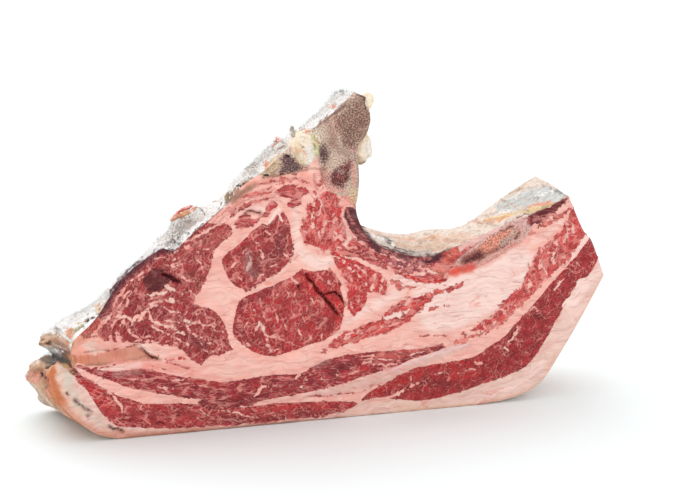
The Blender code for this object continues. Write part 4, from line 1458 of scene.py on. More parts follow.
@dataclass(frozen=True)
class Tissue:
    """The cut face of meat and fat."""

    name: str
    stretch: float
    marbling: float
    bundle: float

    def seams(self, tree: Tree, bent: Shade, size: float, width: Shade) -> Shade:
        """Pale lines of this width, in millimetres, between bundles of fibres of this size."""
        away = tree.cells(bent, size, "DISTANCE_TO_EDGE", "Distance") * size
        return 1 - (away / width).ease(0.35, 1.5)

    def fat_colour(self, tree: Tree, grain: Shade) -> tuple[Shade, Shade]:
        """Colour the fat, with fibres, folds and thin red lines; the folds carry painted shade,
        pinker and darker in their hollows and lighter on their ridges.

        Args:
            tree: The material's tree.
            grain: The place along the grain.

        Returns:
            The colour, and the fine relief in millimetres.
        """
        along = tree.vector("MULTIPLY", tree.swayed(grain, 14.0, 5.0), (0.22, 1.0, 0.3))
        streak = tree.clouds(along, 1.7, 4.0, 0.4, 0.62)
        fold = tree.clouds(along, 5.0, 3.0, 1.0)
        blotch = tree.clouds(grain, 9.0, 3.0)
        fat = tree.read("fat_tint", "Color")
        # Where a mark has made the fat dark or strongly coloured, its own colour tells.
        plain = fat.lightness().ease(0.28, 0.46)
        deep = tree.read("fatness").ease(0.5, 8.0)
        cream = (blotch.ease(0.38, 0.66) * 0.4).most(deep * blotch * 0.7)
        fat = tree.mix(cream * plain, fat, Tone.CREAM)
        # Painted shade and highlight of the folds: their hollows pinker and darker, their ridges
        # lighter.
        fat = tree.mix(fold.ease(0.52, 0.30) * (0.45 - deep * 0.2) * plain, fat, Tone.BLUSH)
        fat = tree.brighten(fat, 0.70 + streak * 0.32 + fold * 0.28)
        line = tree.threads(tree.clouds(along, 7.0, 3.0, 0.6), 0.010, 0.3)
        fat = tree.mix(line * blotch.ease(0.42, 0.6) * 0.45, fat, Tone.FLUSH_RED)
        speck = tree.clouds(grain, 1.3, 1.0).ease(0.74, 0.80)
        return tree.mix(speck * 0.5, fat, Tone.TAN_SPOT), streak * 0.3 + fold * 0.6 - line * 0.15

    def material(self) -> bpy.types.Material:
        """Build the material.

        Returns:
            The material.
        """
        tree = Tree(self.name)
        grain = tree.read("grain", "Vector")
        pulled = tree.vector("MULTIPLY", grain, (1 / self.stretch, 1.0, 0.5))
        bent = tree.swayed(tree.swayed(pulled, 7.0, 2.6), 2.0, 1.0)
        fine = tree.clouds(pulled, 1.0, 2.0, 0.0, 0.6)
        broad = tree.clouds(grain, 9.0)
        bundle = tree.cells(bent, self.bundle)
        # Fat is ragged at its edge.
        depth = tree.read("fatness")
        ragged = tree.clouds(tree.swayed(tree.place(), 9.0, 3.0), 4.2, 3.0, 0.4, 0.6) - 0.5
        frayed = tree.clouds(tree.place(), 1.8, 3.0, 0.3, 0.65) - 0.5
        fat_share = (depth + ragged * tree.read("rag") * 5.5 + frayed * 1.8).ease(-0.26, 0.26)
        near_fat = depth.ease(-6.0, 0.5)
        # Lean is mottled in bundles of fibres.
        tint = tree.read("lean_tint", "Color")
        shine = 0.93 + (fine - 0.5) * 1.9 + (broad - 0.5) * 0.8 + (bundle - 0.5) * 0.5
        lean = tree.brighten(tint, shine)
        lean = tree.mix(tree.clouds(bent, 1.9).ease(0.55, 0.33) * 0.55, lean, Tone.GORE)
        # Marbling runs between the bundles, and less of it where the lean is dark.
        gate = tree.clouds(grain, 6.5).ease(0.36, 0.66)
        narrow = gate * 0.42 * self.marbling + (near_fat * 0.05 + 0.012)
        thin = self.seams(tree, bent, self.bundle, narrow)
        wide = self.seams(tree, bent, self.bundle * 3.1, gate * gate * 1.25 * self.marbling + 0.03)
        wander = tree.clouds(bent, 4.6, 2.0, 1.2)
        thread = tree.threads(wander, 0.008 + 0.02 * self.marbling, 0.2, 1.5)
        fleck = tree.clouds(pulled, 1.5, 1.0).ease(0.66, 0.74) * (0.3 + 0.6 * self.marbling)
        veins = (thin * 0.75).most(wide * 0.9).most(thread * (0.2 + gate * 0.5)).most(fleck)
        veins = veins * (0.2 + 0.8 * tint.lightness().ease(0.03, 0.085))
        lean = tree.mix(veins, lean, tree.mix(0.3, Tone.VEIN, lean))
        fat, fat_height = self.fat_colour(tree, grain)
        colour = tree.mix(fat_share, lean, fat)
        # Splits get painted shade: a soft dark-red edge round a black core.
        cleft = tree.read("cleft") + (tree.clouds(grain, 1.6) - 0.5) * 1.6
        colour = tree.mix(cleft.ease(-2.2, 0.3) * 0.6, colour, Tone.GORE)
        colour = tree.mix(cleft.ease(-0.15, 0.7) * 0.8, colour, Tone.BLACK)
        height = (fine * 0.55 + bundle * 0.12 + veins * 0.22) * (1 - fat_share)
        height = height + (fat_height + 0.3) * fat_share - cleft.ease(-0.6, 0.6) * 0.9
        return tree.finish(colour, 0.5 - fine * 0.16 + fat_share * 0.1, height, 0.2)


@dataclass(frozen=True)
class SawnBone:
    """The sawn face of a bone: spongy inside, dense at the rim."""

    name: str
    soft: float
    darkest: float
    specks: float
    pore: float = 1.05

    def material(self) -> bpy.types.Material:
        """Build the material.

        Returns:
            The material.
        """
        tree = Tree(self.name)
        grain = tree.read("grain", "Vector")
        web = tree.clouds(grain, self.pore, 2.0, 0.2, 0.6)
        mottle = tree.clouds(grain, 5.0, 3.0)
        hole = 1 - web.ease(0.38, 0.50)
        sponge = tree.brighten(tree.read("lean_tint", "Color"), 0.72 + mottle * 0.7)
        sponge = tree.mix(hole * self.darkest, sponge, Tone.MARROW_DARK)
        sponge = tree.mix(web.ease(0.56, 0.68) * self.specks, sponge, Tone.SPARK)
        dense = tree.brighten(tree.read("fat_tint", "Color"), 0.84 + mottle * 0.3 + web * 0.12)
        dense = tree.mix(hole * (0.2 + mottle * 0.5), dense, Tone.SPONGE)
        share = tree.read("fatness") + (mottle - 0.5) * 4.4 + (web - 0.5) * 4.5
        colour = tree.mix(share.ease(-self.soft, self.soft * 0.6), sponge, dense)
        # Splits are painted black as shade.
        colour = tree.mix(tree.read("cleft").ease(-0.35, 0.25) * 0.9, colour, Tone.BLACK)
        return tree.finish(colour, 0.62 + mottle * 0.1, mottle * 0.3 - hole * 0.5, 0.25)


@dataclass(frozen=True)
class Hide:
    """The outside of the slice: dried fat, membrane or mould."""

    name: str
    along: float = 0.3
    powder: Tone = Tone.CRUST
    rough_height: float = 0.6
    strands: float = 0.35

    def material(self) -> bpy.types.Material:
        """Build the material.

        Returns:
            The material.
        """
        tree = Tree(self.name)
        spot = tree.read("skin", "Vector")
        pulled = tree.vector("MULTIPLY", tree.swayed(spot, 9.0, 4.0), (self.along, 1.0, 1.0))
        wrinkle = tree.clouds(pulled, 3.0, 4.0, 0.6, 0.62)
        fluff = tree.clouds(spot, 2.0, 4.0, 0.3, 0.65)
        patch = tree.clouds(spot, 6.0, 3.0)
        shine = 0.52 + wrinkle * 0.62 + fluff * 0.34
        colour = tree.brighten(tree.read("hide_tint", "Color"), shine)
        dark_line = tree.threads(tree.clouds(pulled, 5.5, 3.0, 1.0), 0.016)
        colour = tree.mix(dark_line * self.strands, colour, Tone.BROWN)
        # Mould lies over it as a powder with a few hairs in it.
        share = tree.read("mould") + (fluff - 0.5) * 1.7 + (patch - 0.5) * 0.8
        powder = tree.brighten(tree.even(self.powder), 0.86 + fluff * 0.28 + patch * 0.16)
        hair = tree.threads(tree.clouds(tree.swayed(pulled, 3.0, 1.6), 3.6, 2.0, 0.8), 0.012)
        powder = tree.mix(hair * self.strands * 1.3, powder, Tone.GREY)
        colour = tree.mix(share.ease(0.34, 0.62), colour, powder)
        grit = tree.clouds(spot, 1.3, 3.0, 0.5, 0.7)
        dirt = (1 - grit.ease(0.33, 0.45)) * tree.read("dirt")
        colour = tree.mix(dirt, colour, tree.mix(patch.ease(0.44, 0.56), Tone.SLATE, Tone.BROWN))
        # Crack marks are painted black: painted shade in the cracks, and a few small black spots on
        # the crust.
        cleft = (tree.read("crack") + (fluff - 0.5) * 1.6).ease(-0.4, 0.5)
        colour = tree.mix(cleft * 0.9, colour, Tone.BLACK)
        height = (wrinkle + fluff * 0.45) * self.rough_height + hair * 0.1 - cleft * 0.8
        return tree.finish(colour, 0.62 + wrinkle * 0.25, height, 0.2)


# ------------ outlines


def front_loops(node: str, half: float) -> list[Array]:
    """Read a node's outline on the front cut.

    Args:
        node: The node's name.
        half: Half the thickness of the slice, in millimetres.

    Returns:
        Its closed loops in part millimetres, the outside one first.
    """
    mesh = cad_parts[node].data
    spots = np.empty(len(mesh.vertices) * 3, np.float32)
    mesh.vertices.foreach_get("co", spots)
    spots = spots.reshape(-1, 3).astype(float) / MM
    # The triangles are loose, so points that lie close enough are taken as one.
    cells = np.round(spots / SAME_POINT)
    _, first, index = np.unique(cells, axis=0, return_index=True, return_inverse=True)
    faces = index.reshape(-1)[np.array([tuple(face.vertices) for face in mesh.polygons])]
    spots = spots[first]
    flat = np.abs(spots[:, 1] + half) < ON_THE_CUT
    faces = faces[flat[faces].all(axis=1)]
    corners = [face for face in faces.tolist() if len(set(face)) == 3]
    edges = {edge for face in corners for edge in zip(face, face[1:] + face[:1])}
    following = {start: stop for start, stop in edges if (stop, start) not in edges}
    loops = []
    while following:
        at = next(iter(following))
        loop = []
        while at in following:
            loop.append(at)
            at = following.pop(at)
        loops.append(spots[loop][:, [0, 2]])
    return sorted(loops, key=lambda loop: -abs(area(loop)))


def area(loop: Array) -> float:
    """A loop's area, above 0 where it runs anticlockwise."""
    ahead = np.roll(loop, -1, axis=0)
    return 0.5 * float(np.sum(loop[:, 0] * ahead[:, 1] - loop[:, 1] * ahead[:, 0]))


def even_loop(loop: Array, step: float, corner: float = 32.0) -> Array:
    """Space a loop's points evenly, and keep its corners.

    Args:
        loop: The points of the loop.
        step: About how far apart they come to lie, in millimetres.
        corner: How sharp a turn counts as a corner, in degrees.

    Returns:
        The new points.
    """
    gap = np.hypot(*(loop - np.roll(loop, 1, axis=0)).T)
    loop = loop[gap > 0.35]
    before = loop - np.roll(loop, 1, axis=0)
    after = np.roll(loop, -1, axis=0) - loop
    crossed = before[:, 0] * after[:, 1] - before[:, 1] * after[:, 0]
    turn = np.arctan2(crossed, (before * after).sum(axis=1))
    corners = np.flatnonzero(np.abs(turn) > math.radians(corner))
    if not len(corners):
        corners = np.array([0])
    loop = np.roll(loop, -corners[0], axis=0)
    corners = corners - corners[0]
    closed = np.vstack([loop, loop[:1]])
    runs = []
    for start, stop in zip(corners, [*corners[1:], len(loop)]):
        run = closed[start : stop + 1]
        gone = np.concatenate([[0.0], np.cumsum(np.hypot(*np.diff(run, axis=0).T))])
        count = max(1, round(float(gone[-1]) / step))
        at = np.linspace(0.0, gone[-1], count + 1)
        even = np.stack([np.interp(at, gone, run[:, axis]) for axis in (0, 1)], axis=1)
        for _ in range(2):
            even[1:-1] = even[1:-1] / 2 + (even[:-2] + even[2:]) / 4
        runs.append(even[:-1])
    return np.vstack(runs)


def loop_normals(loop: Array) -> Array:
    """The outward direction at each point of an anticlockwise loop."""
    x, z = (np.roll(loop, -1, axis=0) - np.roll(loop, 1, axis=0)).T
    return np.stack([z, -x], axis=1) / np.maximum(np.hypot(x, z), 1e-9)[:, None]


class Lookup:
    """Finds the nearest of some flat points."""

    def __init__(self, points: Array) -> None:
        """Take the points.

        Args:
            points: One row for each.
        """
        self.tree = kdtree.KDTree(max(1, len(points)))
        for index, (x, z) in enumerate(points):
            self.tree.insert((x, z, 0.0), index)
        self.tree.balance()

    def nearest(self, flat: Array) -> tuple[Array, Array]:
        """The place of the nearest one to each flat point, and its distance."""
        found = [self.tree.find((x, z, 0.0))[1:] for x, z in flat]
        return np.array([index for index, _ in found], int), np.array([away for _, away in found])

    def within(self, x: float, z: float, reach: float) -> list[tuple[float, int]]:
        """The distance and the place of each point that lies within reach of a place."""
        return [(away, index) for _, index, away in self.tree.find_range((x, z, 0.0), reach)]


@dataclass
class Outline:
    """One piece's loops, and which of their points are on the outside of the slice."""

    loops: list[Array]
    normals: list[Array]
    outer: list[Array]
    neighbour: list[list[str]]


class Plan:
    """The outlines of every piece of the cut face, and what lies beside what."""

    gap = 0.62
    normal_reach = 2.5

    def __init__(self, cut_slice: Slice) -> None:
        """Read the outlines from the frame.

        Args:
            cut_slice: The slice that they belong to.
        """
        self.slice = cut_slice
        shift = np.array((cut_slice.shift(), 0.0))
        half = cut_slice.thickness / 2
        self.outlines: dict[str, Outline] = {}
        for cut in CUTS:
            loops = [even_loop(loop - shift, cut.step) for loop in front_loops(cut.node, half)]
            self.outlines[cut.node] = Outline(loops, [loop_normals(loop) for loop in loops], [], [])
        self.find_neighbours()
        runs = [
            (loop[outer], normals[outer])
            for outline in self.outlines.values()
            for loop, normals, outer in zip(outline.loops, outline.normals, outline.outer)
        ]
        self.outer = Lookup(np.vstack([points for points, _ in runs]))
        self.outer_normals = np.vstack([normals for _, normals in runs])
        shore, self.shore_owner = self.find_shore()
        self.shore = Lookup(shore)

    def find_neighbours(self) -> None:
        """Find which piece lies beside each point of each loop."""
        dense = []
        owners = []
        for name, outline in self.outlines.items():
            for loop in outline.loops:
                middle = (loop + np.roll(loop, -1, axis=0)) / 2
                dense.append(np.vstack([loop, middle]))
                owners += [name] * (2 * len(loop))
        lookup = Lookup(np.vstack(dense))
        for name, outline in self.outlines.items():
            for loop in outline.loops:
                beside = []
                for x, z in loop:
                    near = lookup.within(x, z, self.gap)
                    others = [(away, owners[at]) for away, at in near if owners[at] != name]
                    beside.append(min(others)[1] if others else "")
                outline.neighbour.append(beside)
                outline.outer.append(np.array([not other for other in beside]))

    def find_shore(self) -> tuple[Array, Array]:
        """Find where lean lies beside fat.

        Returns:
            Points along it, and the place in CUTS of each one's lean piece.
        """
        kinds = {cut.node: cut.kind for cut in CUTS}
        found = []
        owners = []
        for index, (node, outline) in enumerate(self.outlines.items()):
            if kinds[node] is not Kind.LEAN:
                continue
            for loop, beside in zip(outline.loops, outline.neighbour):
                wanted = [kinds.get(other) in FAT_KINDS for other in beside]
                ahead = np.roll(loop, -1, axis=0)
                for share in (0.0, 0.5):
                    found.append((loop * (1 - share) + ahead * share)[wanted])
                    owners += [index] * len(found[-1])
        return np.vstack(found), np.array(owners)

    def wall_normals(self, flat: Array) -> Array:
        """The outward direction of the slice's side near some points.

        Args:
            flat: The points on the drawing.

        Returns:
            The mean direction near each.
        """
        closest, _ = self.outer.nearest(flat)
        rows = []
        for (x, z), index in zip(flat, closest):
            near = [at for _, at in self.outer.within(x, z, self.normal_reach)]
            mean = self.outer_normals[near or [index]].sum(axis=0)
            rows.append(mean / max(math.hypot(*mean), 1e-6))
        return np.array(rows).reshape(-1, 2)


# ------------ side walls


PLEURA_MARKS = (
    *wash(Tone.MEMBRANE, 4, 0.9, (34, 130, 50, 128, 70, 127.5, 88, 129)),
    *wash(Tone.TAN_EDGE, 3.5, 0.4, (66, 124, 78, 123.5, 90, 123), (40, 120, 54, 118, 70, 118)),
    *wash(
        Tone.OCHRE, 1.3, 0.5, (22, 131, 34, 126.5, 50, 123, 66, 121.6, 80, 120.4, 92, 120),
        (58, 125, 66, 122.4, 68, 126.5), (36, 117.5, 48, 115.5, 60, 114.6, 72, 115, 82, 117),
    ),
    *wash(
        Tone.ASH, 2.6, 0.9, (30, 124, 37, 120, 45, 116.5, 54, 114.4, 63, 114),
        (26, 128, 31, 126, 36, 122),
    ),
    *marks(Act.MOULD, Tone.CRUST, 2, 0.7, (22, 128.5, 27, 126.5, 30, 124), (36, 121.5, 40, 118.4)),
    *marks(Act.DIRT, Tone.SLATE, 4, 0.7, (32, 122, 42, 118, 54, 115.4, 66, 115)),
    *wash(Tone.TAN, 3, 0.5, (40, 121, 52, 118, 64, 117, 76, 117.6)),
    *marks(
        Act.CLEFT, Tone.BLACK, 1, 1, (31, 126, 33, 123.4, 36, 122.6),
        (38, 118.4, 44, 116.8, 52, 114.8),
    ),
    *wash(
        Tone.DRIED, 2, 1,
        (11.5, 146, 14, 137, 20, 127.4, 30, 119.4, 48, 112.9, 65, 111.2, 82, 116.2),
    ),
    *wash(Tone.MEMBRANE, 3, 0.9, (84, 118, 98, 122, 112, 127, 124, 132)),
    *wash(Tone.BLUSH, 1, 0.5, (90, 134, 96, 134.6), (88, 120.4, 100, 123.4)),
    *wash(
        Tone.BLUE_GREY, 3.2, 1,
        (109, 143, 116, 146, 126, 150, 137, 152, 150, 151, 157, 147, 150, 144, 137, 143.5,
         124, 142, 112, 140, 109, 143),
    ),
    *wash(
        Tone.ASH, 1.3, 0.8, (112, 142, 118, 141), (124, 145, 130, 146.6), (134, 149, 140, 150.6),
        (131, 144.6, 137, 144), (144, 147, 150, 148.6), (105, 138.6, 108, 135.8),
        (139, 153, 144, 155),
    ),
    *marks(
        Act.MOULD, Tone.CRUST, 3, 0.45, (116, 147, 124, 148.6), (136, 147, 148, 150),
        (110, 138, 118, 139),
    ),
    *wash(Tone.TAN, 3.4, 0.6, (106, 147, 117, 153, 127, 158.4, 135, 162, 144, 159, 152, 154)),
    *wash(Tone.BROWN, 0.9, 0.6, (114, 150, 124, 153.4, 134, 154.6), (141, 156.4, 144, 153.6)),
    *wash(Tone.SLATE, 1, 0.8, (146, 153, 152, 150.4, 160, 146.6)),
    *wash(
        Tone.YELLOW, 1.8, 0.75, (100, 132.6, 110, 133.4, 120, 135.6),
        (122, 137, 132, 138, 142, 139.6, 150, 141.4),
    ),
    *wash(
        Tone.OCHRE, 1.5, 0.8, (96, 131, 108, 132, 118, 134), (132, 140.4, 140, 141.6, 150, 142.6),
    ),
    *wash(Tone.FLAKE, 1.8, 0.7, (134, 141, 140, 142.6, 147, 143.4)),
    *wash(Tone.GREEN, 1.6, 0.9, (142, 139.6, 150, 140.8)),
    # Painted shade in the creases along the membrane.
    *wash(
        Tone.CREVICE_SHADE, 1.3, 1, (124, 133, 132, 136.4, 142, 137.6, 150, 140, 156, 143.6, 161, 146.6),
    ),
    *wash(Tone.CREVICE_SHADE, 1, 0.55, (84, 117.8, 98, 122.6, 112, 128.4, 122, 132.6)),
    *marks(Act.RAISE, Tone.CRUST, 6, 1.2, (128, 146, 146, 149)),
    *marks(
        Act.RAISE, Tone.CRUST, 1.6, 0.9, (34, 127, 50, 123.5, 66, 122, 90, 121),
        (100, 133, 120, 136, 146, 142),
    ),
)
MOULD_MARKS = (
    *wash(Tone.ASH, 8, 0.5, (-112, 136, -104, 143, -95, 149)),
    *marks(Act.DIRT, Tone.SLATE, 7, 0.5, (-113, 134, -104, 141, -97, 147), (-90, 158, -76, 165)),
    *marks(Act.DIRT, Tone.SLATE, 6, 0.12, (-60, 177, -46, 190), (-20, 212, -2, 224)),
    *wash(Tone.DRIED, 2.2, 1, (-156, 92, -145, 109, -132, 120, -117, 128.6, -110, 127)),
    # Painted shade in a crease of the crust.
    *wash(Tone.CREVICE_SHADE, 1.3, 0.9, (-109, 127, -98, 136.4, -85, 147, -75, 156.6, -66, 166)),
    *marks(Act.MOULD, Tone.CRUST, 3.4, 1, (-105, 133.6, -92, 145, -80, 155.6, -72, 163)),
    *wash(
        Tone.ASH, 3.4, 0.75, (-114, 132, -108, 134, -104, 139), (-104, 145, -98, 149, -92, 153),
        (-112, 140, -108, 144), (-62, 172, -56, 179), (-50, 184, -44, 190), (-84, 158, -78, 163),
    ),
    *wash(
        Tone.SLATE, 1.6, 0.9, (-113, 133, -109, 131.4, -106, 132), (-102, 145.6, -100.6, 144.4),
        (-102, 138, -100.6, 137.2), (-62, 176.6, -58, 178.4), (-54, 184, -48, 187.4),
        (-15, 218, -9, 222.6, -2, 226.6, 3, 224.6), (-14, 215.6, -8, 219), (-24, 208, -20, 211),
        (-88, 160, -84, 158),
    ),
    *wash(Tone.OLIVE, 2, 0.85, (-76, 158, -71, 161), (-176, 78, -170, 80)),
    *wash(Tone.BROWN, 3.6, 0.95, (-73, 158, -66, 164.4, -58, 169.6)),
    *wash(Tone.BEIGE, 1.6, 0.9, (-70, 163, -64, 168)),
    *marks(Act.RAISE, Tone.CRUST, 3.6, 1.8, (-73, 160, -66, 166, -60, 171)),
    *marks(
        Act.CLEFT, Tone.BLACK, 1.8, 1, (-66, 166, -61, 167.4, -57.4, 169.4),
        (-52, 172.6, -48, 172.4),
    ),
    *wash(Tone.STRAW, 2.4, 0.8, (-48, 178.6, -41, 184.6, -34, 189), (-78, 164, -72, 168)),
    *wash(
        Tone.TAN, 1.8, 0.8, (-86, 156, -82, 158), (-58, 176, -54, 179), (-52, 184, -49, 186),
        (-41, 188, -38, 191),
    ),
    *wash(Tone.BROWN, 1.2, 0.9, (-20, 200, -12, 206, 0, 215, 9, 223)),
    *wash(Tone.FLAKE, 1.8, 0.95, (-49.6, 178, -47.4, 182), (-7.4, 215.8, -3, 216)),
    *wash(Tone.BLUSH, 2, 0.9, (-45, 193, -38, 195.4), (-20, 198.6, -17, 199.6)),
    *wash(Tone.YELLOW, 1.8, 0.95, (-172, 82.4, -167, 84.6), (-161.4, 89.6, -158.4, 93.4)),
    *wash(Tone.FLAKE, 1.4, 0.8, (-160, 91.6, -156.4, 95)),
    *marks(Act.CLEFT, Tone.BLACK, 2, 1, (-168.4, 83.4, -164, 86.8), (-160.4, 88.4, -157, 91)),
    *wash(Tone.ASH, 1.6, 0.5, (-176, 86, -166, 94, -156, 103)),
    *wash(Tone.OCHRE, 3.2, 1, (-179, 58, -181.4, 67, -178, 76)),
    *wash(Tone.TAN, 6, 1, (-198, 72, -191, 72, -184, 73)),
    *wash(Tone.RUST, 4.6, 0.9, (-182, 60, -185, 66, -186, 71)),
    *wash(Tone.OCHRE, 2, 0.8, (-196, 69, -190, 70.4, -187, 69), (-180, 76, -176, 79)),
    *wash(Tone.BROWN, 1.2, 0.8, (-196, 74.6, -190, 75, -183, 76.4), (-192, 66, -189, 68)),
    # Painted shade in a crease near the notch above the lobe.
    *wash(Tone.CREVICE_SHADE, 2.4, 0.85, (-188, 66.4, -184, 67, -181, 63)),
    *wash(Tone.FUR, 4.5, 1, (-182, 57, -187, 60, -192, 61)),
    *marks(Act.CLEFT, Tone.BLACK, 1.8, 1, (-184, 58, -180.6, 55.6), (-189, 60.4, -187, 59.4)),
    *wash(Tone.BROWN, 4, 0.6, (-188, 70, -183, 68.5, -180, 64)),
    *marks(
        Act.MOULD, Tone.CRUST, 1, 1, (-193, 58, -188, 63), (-187, 61, -183, 66),
        (-190, 65, -186, 66.4),
    ),
    *marks(Act.RAISE, Tone.CRUST, 8, 2, (-112, 138, -102, 146, -94, 151)),
    *marks(
        Act.RAISE, Tone.CRUST, 3.5, 2.4, (-114, 134, -110, 137), (-106, 144, -102, 147),
        (-98, 148, -93, 152),
    ),
    *marks(Act.RAISE, Tone.CRUST, 6, 2.6, (-66, 172, -56, 180, -46, 189), (-12, 217, -2, 223)),
    *marks(Act.RAISE, Tone.CRUST, 5, 3, (-194, 71, -190, 74)),
)
LOBE_MARKS = (
    *wash(Tone.TAN, 5, 0.9, (-202, 56, -197, 58, -193, 58)),
    # A pale wash on the lobe's rounded top: its membrane colour with a painted highlight.
    *wash(Tone.MEMBRANE, 3.6, 0.9, (-205, 57, -199, 59.6)),
    *wash(Tone.BLUSH, 3.6, 0.75, (-208, 50, -203, 50, -201, 46)),
    *wash(Tone.RUST, 4, 1, (-199, 53, -196.6, 47, -194, 42)),
    # Painted shade along the groove of the lobe.
    *wash(Tone.CREVICE_SHADE, 1.6, 0.9, (-200, 51, -197, 46, -195, 41)),
    *marks(
        Act.CLEFT, Tone.BLACK, 1.6, 1, (-200, 51.6, -197, 48.4, -195.4, 45),
        (-195, 54, -191, 56, -187, 57.4),
    ),
    *wash(Tone.LOBE_ORANGE, 3.4, 0.8, (-193, 50, -193, 40, -188, 29, -182, 20, -175, 13)),
    *wash(Tone.BLUSH, 1.8, 0.5, (-206, 44, -201, 34, -195, 26), (-196, 46, -193, 36)),
    # A pale wash over the lobe's lower side: partly its membrane colour, partly painted light that
    # lifts the shade under the lobe.
    *wash(Tone.MEMBRANE, 5, 0.55, (-204, 42, -198, 32, -191, 24, -184, 17)),
    *wash(
        Tone.BROWN, 1.1, 0.65, (-202, 40, -197, 31, -190, 22, -182, 15),
        (-198, 40, -194, 32, -188, 24),
    ),
    *wash(Tone.ASH, 1.4, 0.6, (-205, 44, -201, 35, -196, 27)),
    *wash(Tone.SPONGE_DARK, 1.5, 1, (-182, 13.4, -176, 10.4, -168, 7.6)),
    *wash(Tone.FUR, 4, 1, (-184, 58, -190, 59, -194, 58)),
    *marks(Act.RAISE, Tone.CRUST, 4, 2.2, (-203, 55, -197, 58), (-206, 49, -203, 47)),
    *marks(Act.RAISE, Tone.CRUST, 2.6, -2.6, (-201, 51, -197, 47, -195, 42)),
    *marks(Act.RAISE, Tone.CRUST, 2.6, 1.2, (-194, 50, -194, 40, -189, 29)),
)
CHINE_MARKS = (
    # Painted shade in a crease down the chine's side.
    *wash(Tone.CREVICE_SHADE, 2.6, 0.8, (17.5, 221, 19.6, 214, 21, 206, 19, 198)),
    *wash(Tone.STRAW, 3, 0.6, (13, 176, 13, 160, 11, 150)),
)


@dataclass(frozen=True)
class Side:
    """A stretch of the slice's side, along the edge of the drawing.

    Crumbs and hairs can grow on some sides. A layered one shows each piece's own colour.
    """

    name: str
    edge: Path
    tint: Tone
    mould: float
    dirt: float
    finish: Hide
    marks: tuple[Mark, ...] = ()
    grows: bool = False
    layered: bool = False


SIDES = (
    Side(
        "chine_top",
        ((10, 224.5), (17.5, 221)),
        Tone.BROWN, 0.1, 0.6, Hide("chine_top_face"), CHINE_MARKS,
    ),
    Side(
        "chine_side",
        ((17.5, 221), (20.5, 211), (21, 205), (12.5, 189), (13, 175), (12.8, 157), (11, 148)),
        Tone.IVORY, 0.2, 0.3, Hide("chine_side_face", 1.0), CHINE_MARKS,
    ),
    Side(
        "pleura",
        ((11.5, 146), (14, 136.5), (20, 127), (30, 119), (48, 112.3), (65, 110.5), (80, 115.5),
         (100, 123), (120, 131), (140, 137), (161.5, 146.5)),
        Tone.PLEURA, 0.12, 0.3, Hide("pleura_membrane", 0.22, Tone.CRUST, 0.8, 0.5), PLEURA_MARKS,
    ),
    Side(
        "rib_end",
        ((161.5, 146.5), (168, 132), (179, 115), (190, 88)),
        Tone.RIND_PINK, 0.0, 0.1, Hide("rib_end_face", 0.6), layered=True,
    ),
    Side(
        "rind",
        ((190, 88), (170, 50), (150, 17), (133, 5), (100, 0), (-150, 0)),
        Tone.RIND, 0.1, 0.15, Hide("fat_rind", 0.5),
    ),
    Side(
        "lobe",
        ((-150, 0), (-172, 11), (-188, 30), (-193, 43), (-192, 53), (-187, 58), (-178, 52)),
        Tone.LOBE_TAN, 0.1, 0.4, Hide("lobe_rind", 0.45, Tone.CRUST, 1.0, 0.7), LOBE_MARKS, True,
    ),
    Side(
        "mould",
        ((-178.5, 56), (-177, 70), (-157, 91), (-145, 109), (-117, 128.5), (-109, 126),
         (-85, 146.5), (-66, 165.5), (-36, 188), (0, 215), (10, 224.5)),
        Tone.PALE_CRUST, 0.7, 0.3, Hide("mould_crust", 0.6, Tone.CRUST, 1.6, 0.5),
        MOULD_MARKS, True,
    ),
)


def nearest_side(flat: Array) -> tuple[Array, Array, Array]:
    """Find the side that each point is nearest to.

    Args:
        flat: The points on the drawing.

    Returns:
        Its place in SIDES, its distance, and how far along its edge the point lies.
    """
    which = np.zeros(len(flat), int)
    closest = np.full(len(flat), np.inf)
    run = np.zeros(len(flat))
    for index, side in enumerate(SIDES):
        line = np.array(side.edge, float)
        away, share = to_line(flat, line)
        length = float(np.hypot(*np.diff(line, axis=0).T).sum())
        closer = away < closest
        which = np.where(closer, index, which)
        run = np.where(closer, share * length, run)
        closest = np.minimum(closest, away)
    return which, closest, run


# ------------ meshes


def make_object(
    name: str,
    spots: Array,
    faces: Sequence[Sequence[int]] | Array,
    materials: Sequence[bpy.types.Material],
    which: Array | None = None,
) -> bpy.types.Object:
    """Make a smooth mesh object.

    Args:
        name: Its name.
        spots: The place of each point, in millimetres.
        faces: The points of each face.
        materials: Its materials.
        which: The place of each face's material among them.

    Returns:
        The object.
    """
    mesh = bpy.data.meshes.new(name)
    mesh.from_pydata((spots * MM).tolist(), [], [list(map(int, face)) for face in faces])
    for material in materials:
        mesh.materials.append(material)
    if which is not None:
        mesh.polygons.foreach_set("material_index", np.asarray(which, np.int32))
    mesh.polygons.foreach_set("use_smooth", np.ones(len(mesh.polygons), bool))
    mesh.update()
    mesh.set_sharp_from_angle(angle=math.radians(SHARP_ANGLE))
    return linked(name, mesh)


def linked(name: str, data: bpy.types.ID) -> bpy.types.Object:
    """Put a mesh, a camera or a lamp in the scene.

    Args:
        name: The object's name.
        data: What it holds.

    Returns:
        The object.
    """
    made = bpy.data.objects.new(name, data)
    bpy.context.scene.collection.objects.link(made)
    return made


def add_values(made: bpy.types.Object, name: str, values: Array) -> None:
    """Store values, vectors or colours on a mesh's points.

    Args:
        made: The object.
        name: The attribute's name, which ends in tint for a colour.
        values: One value or one row for each point.
    """
    kind, field = ("FLOAT", "value") if values.ndim == 1 else ("FLOAT_VECTOR", "vector")
    if name.endswith("tint"):
        kind, field = "FLOAT_COLOR", "color"
        values = np.column_stack([values, np.ones(len(values))])
    made.data.attributes.new(name, kind, "POINT").data.foreach_set(field, values.ravel())


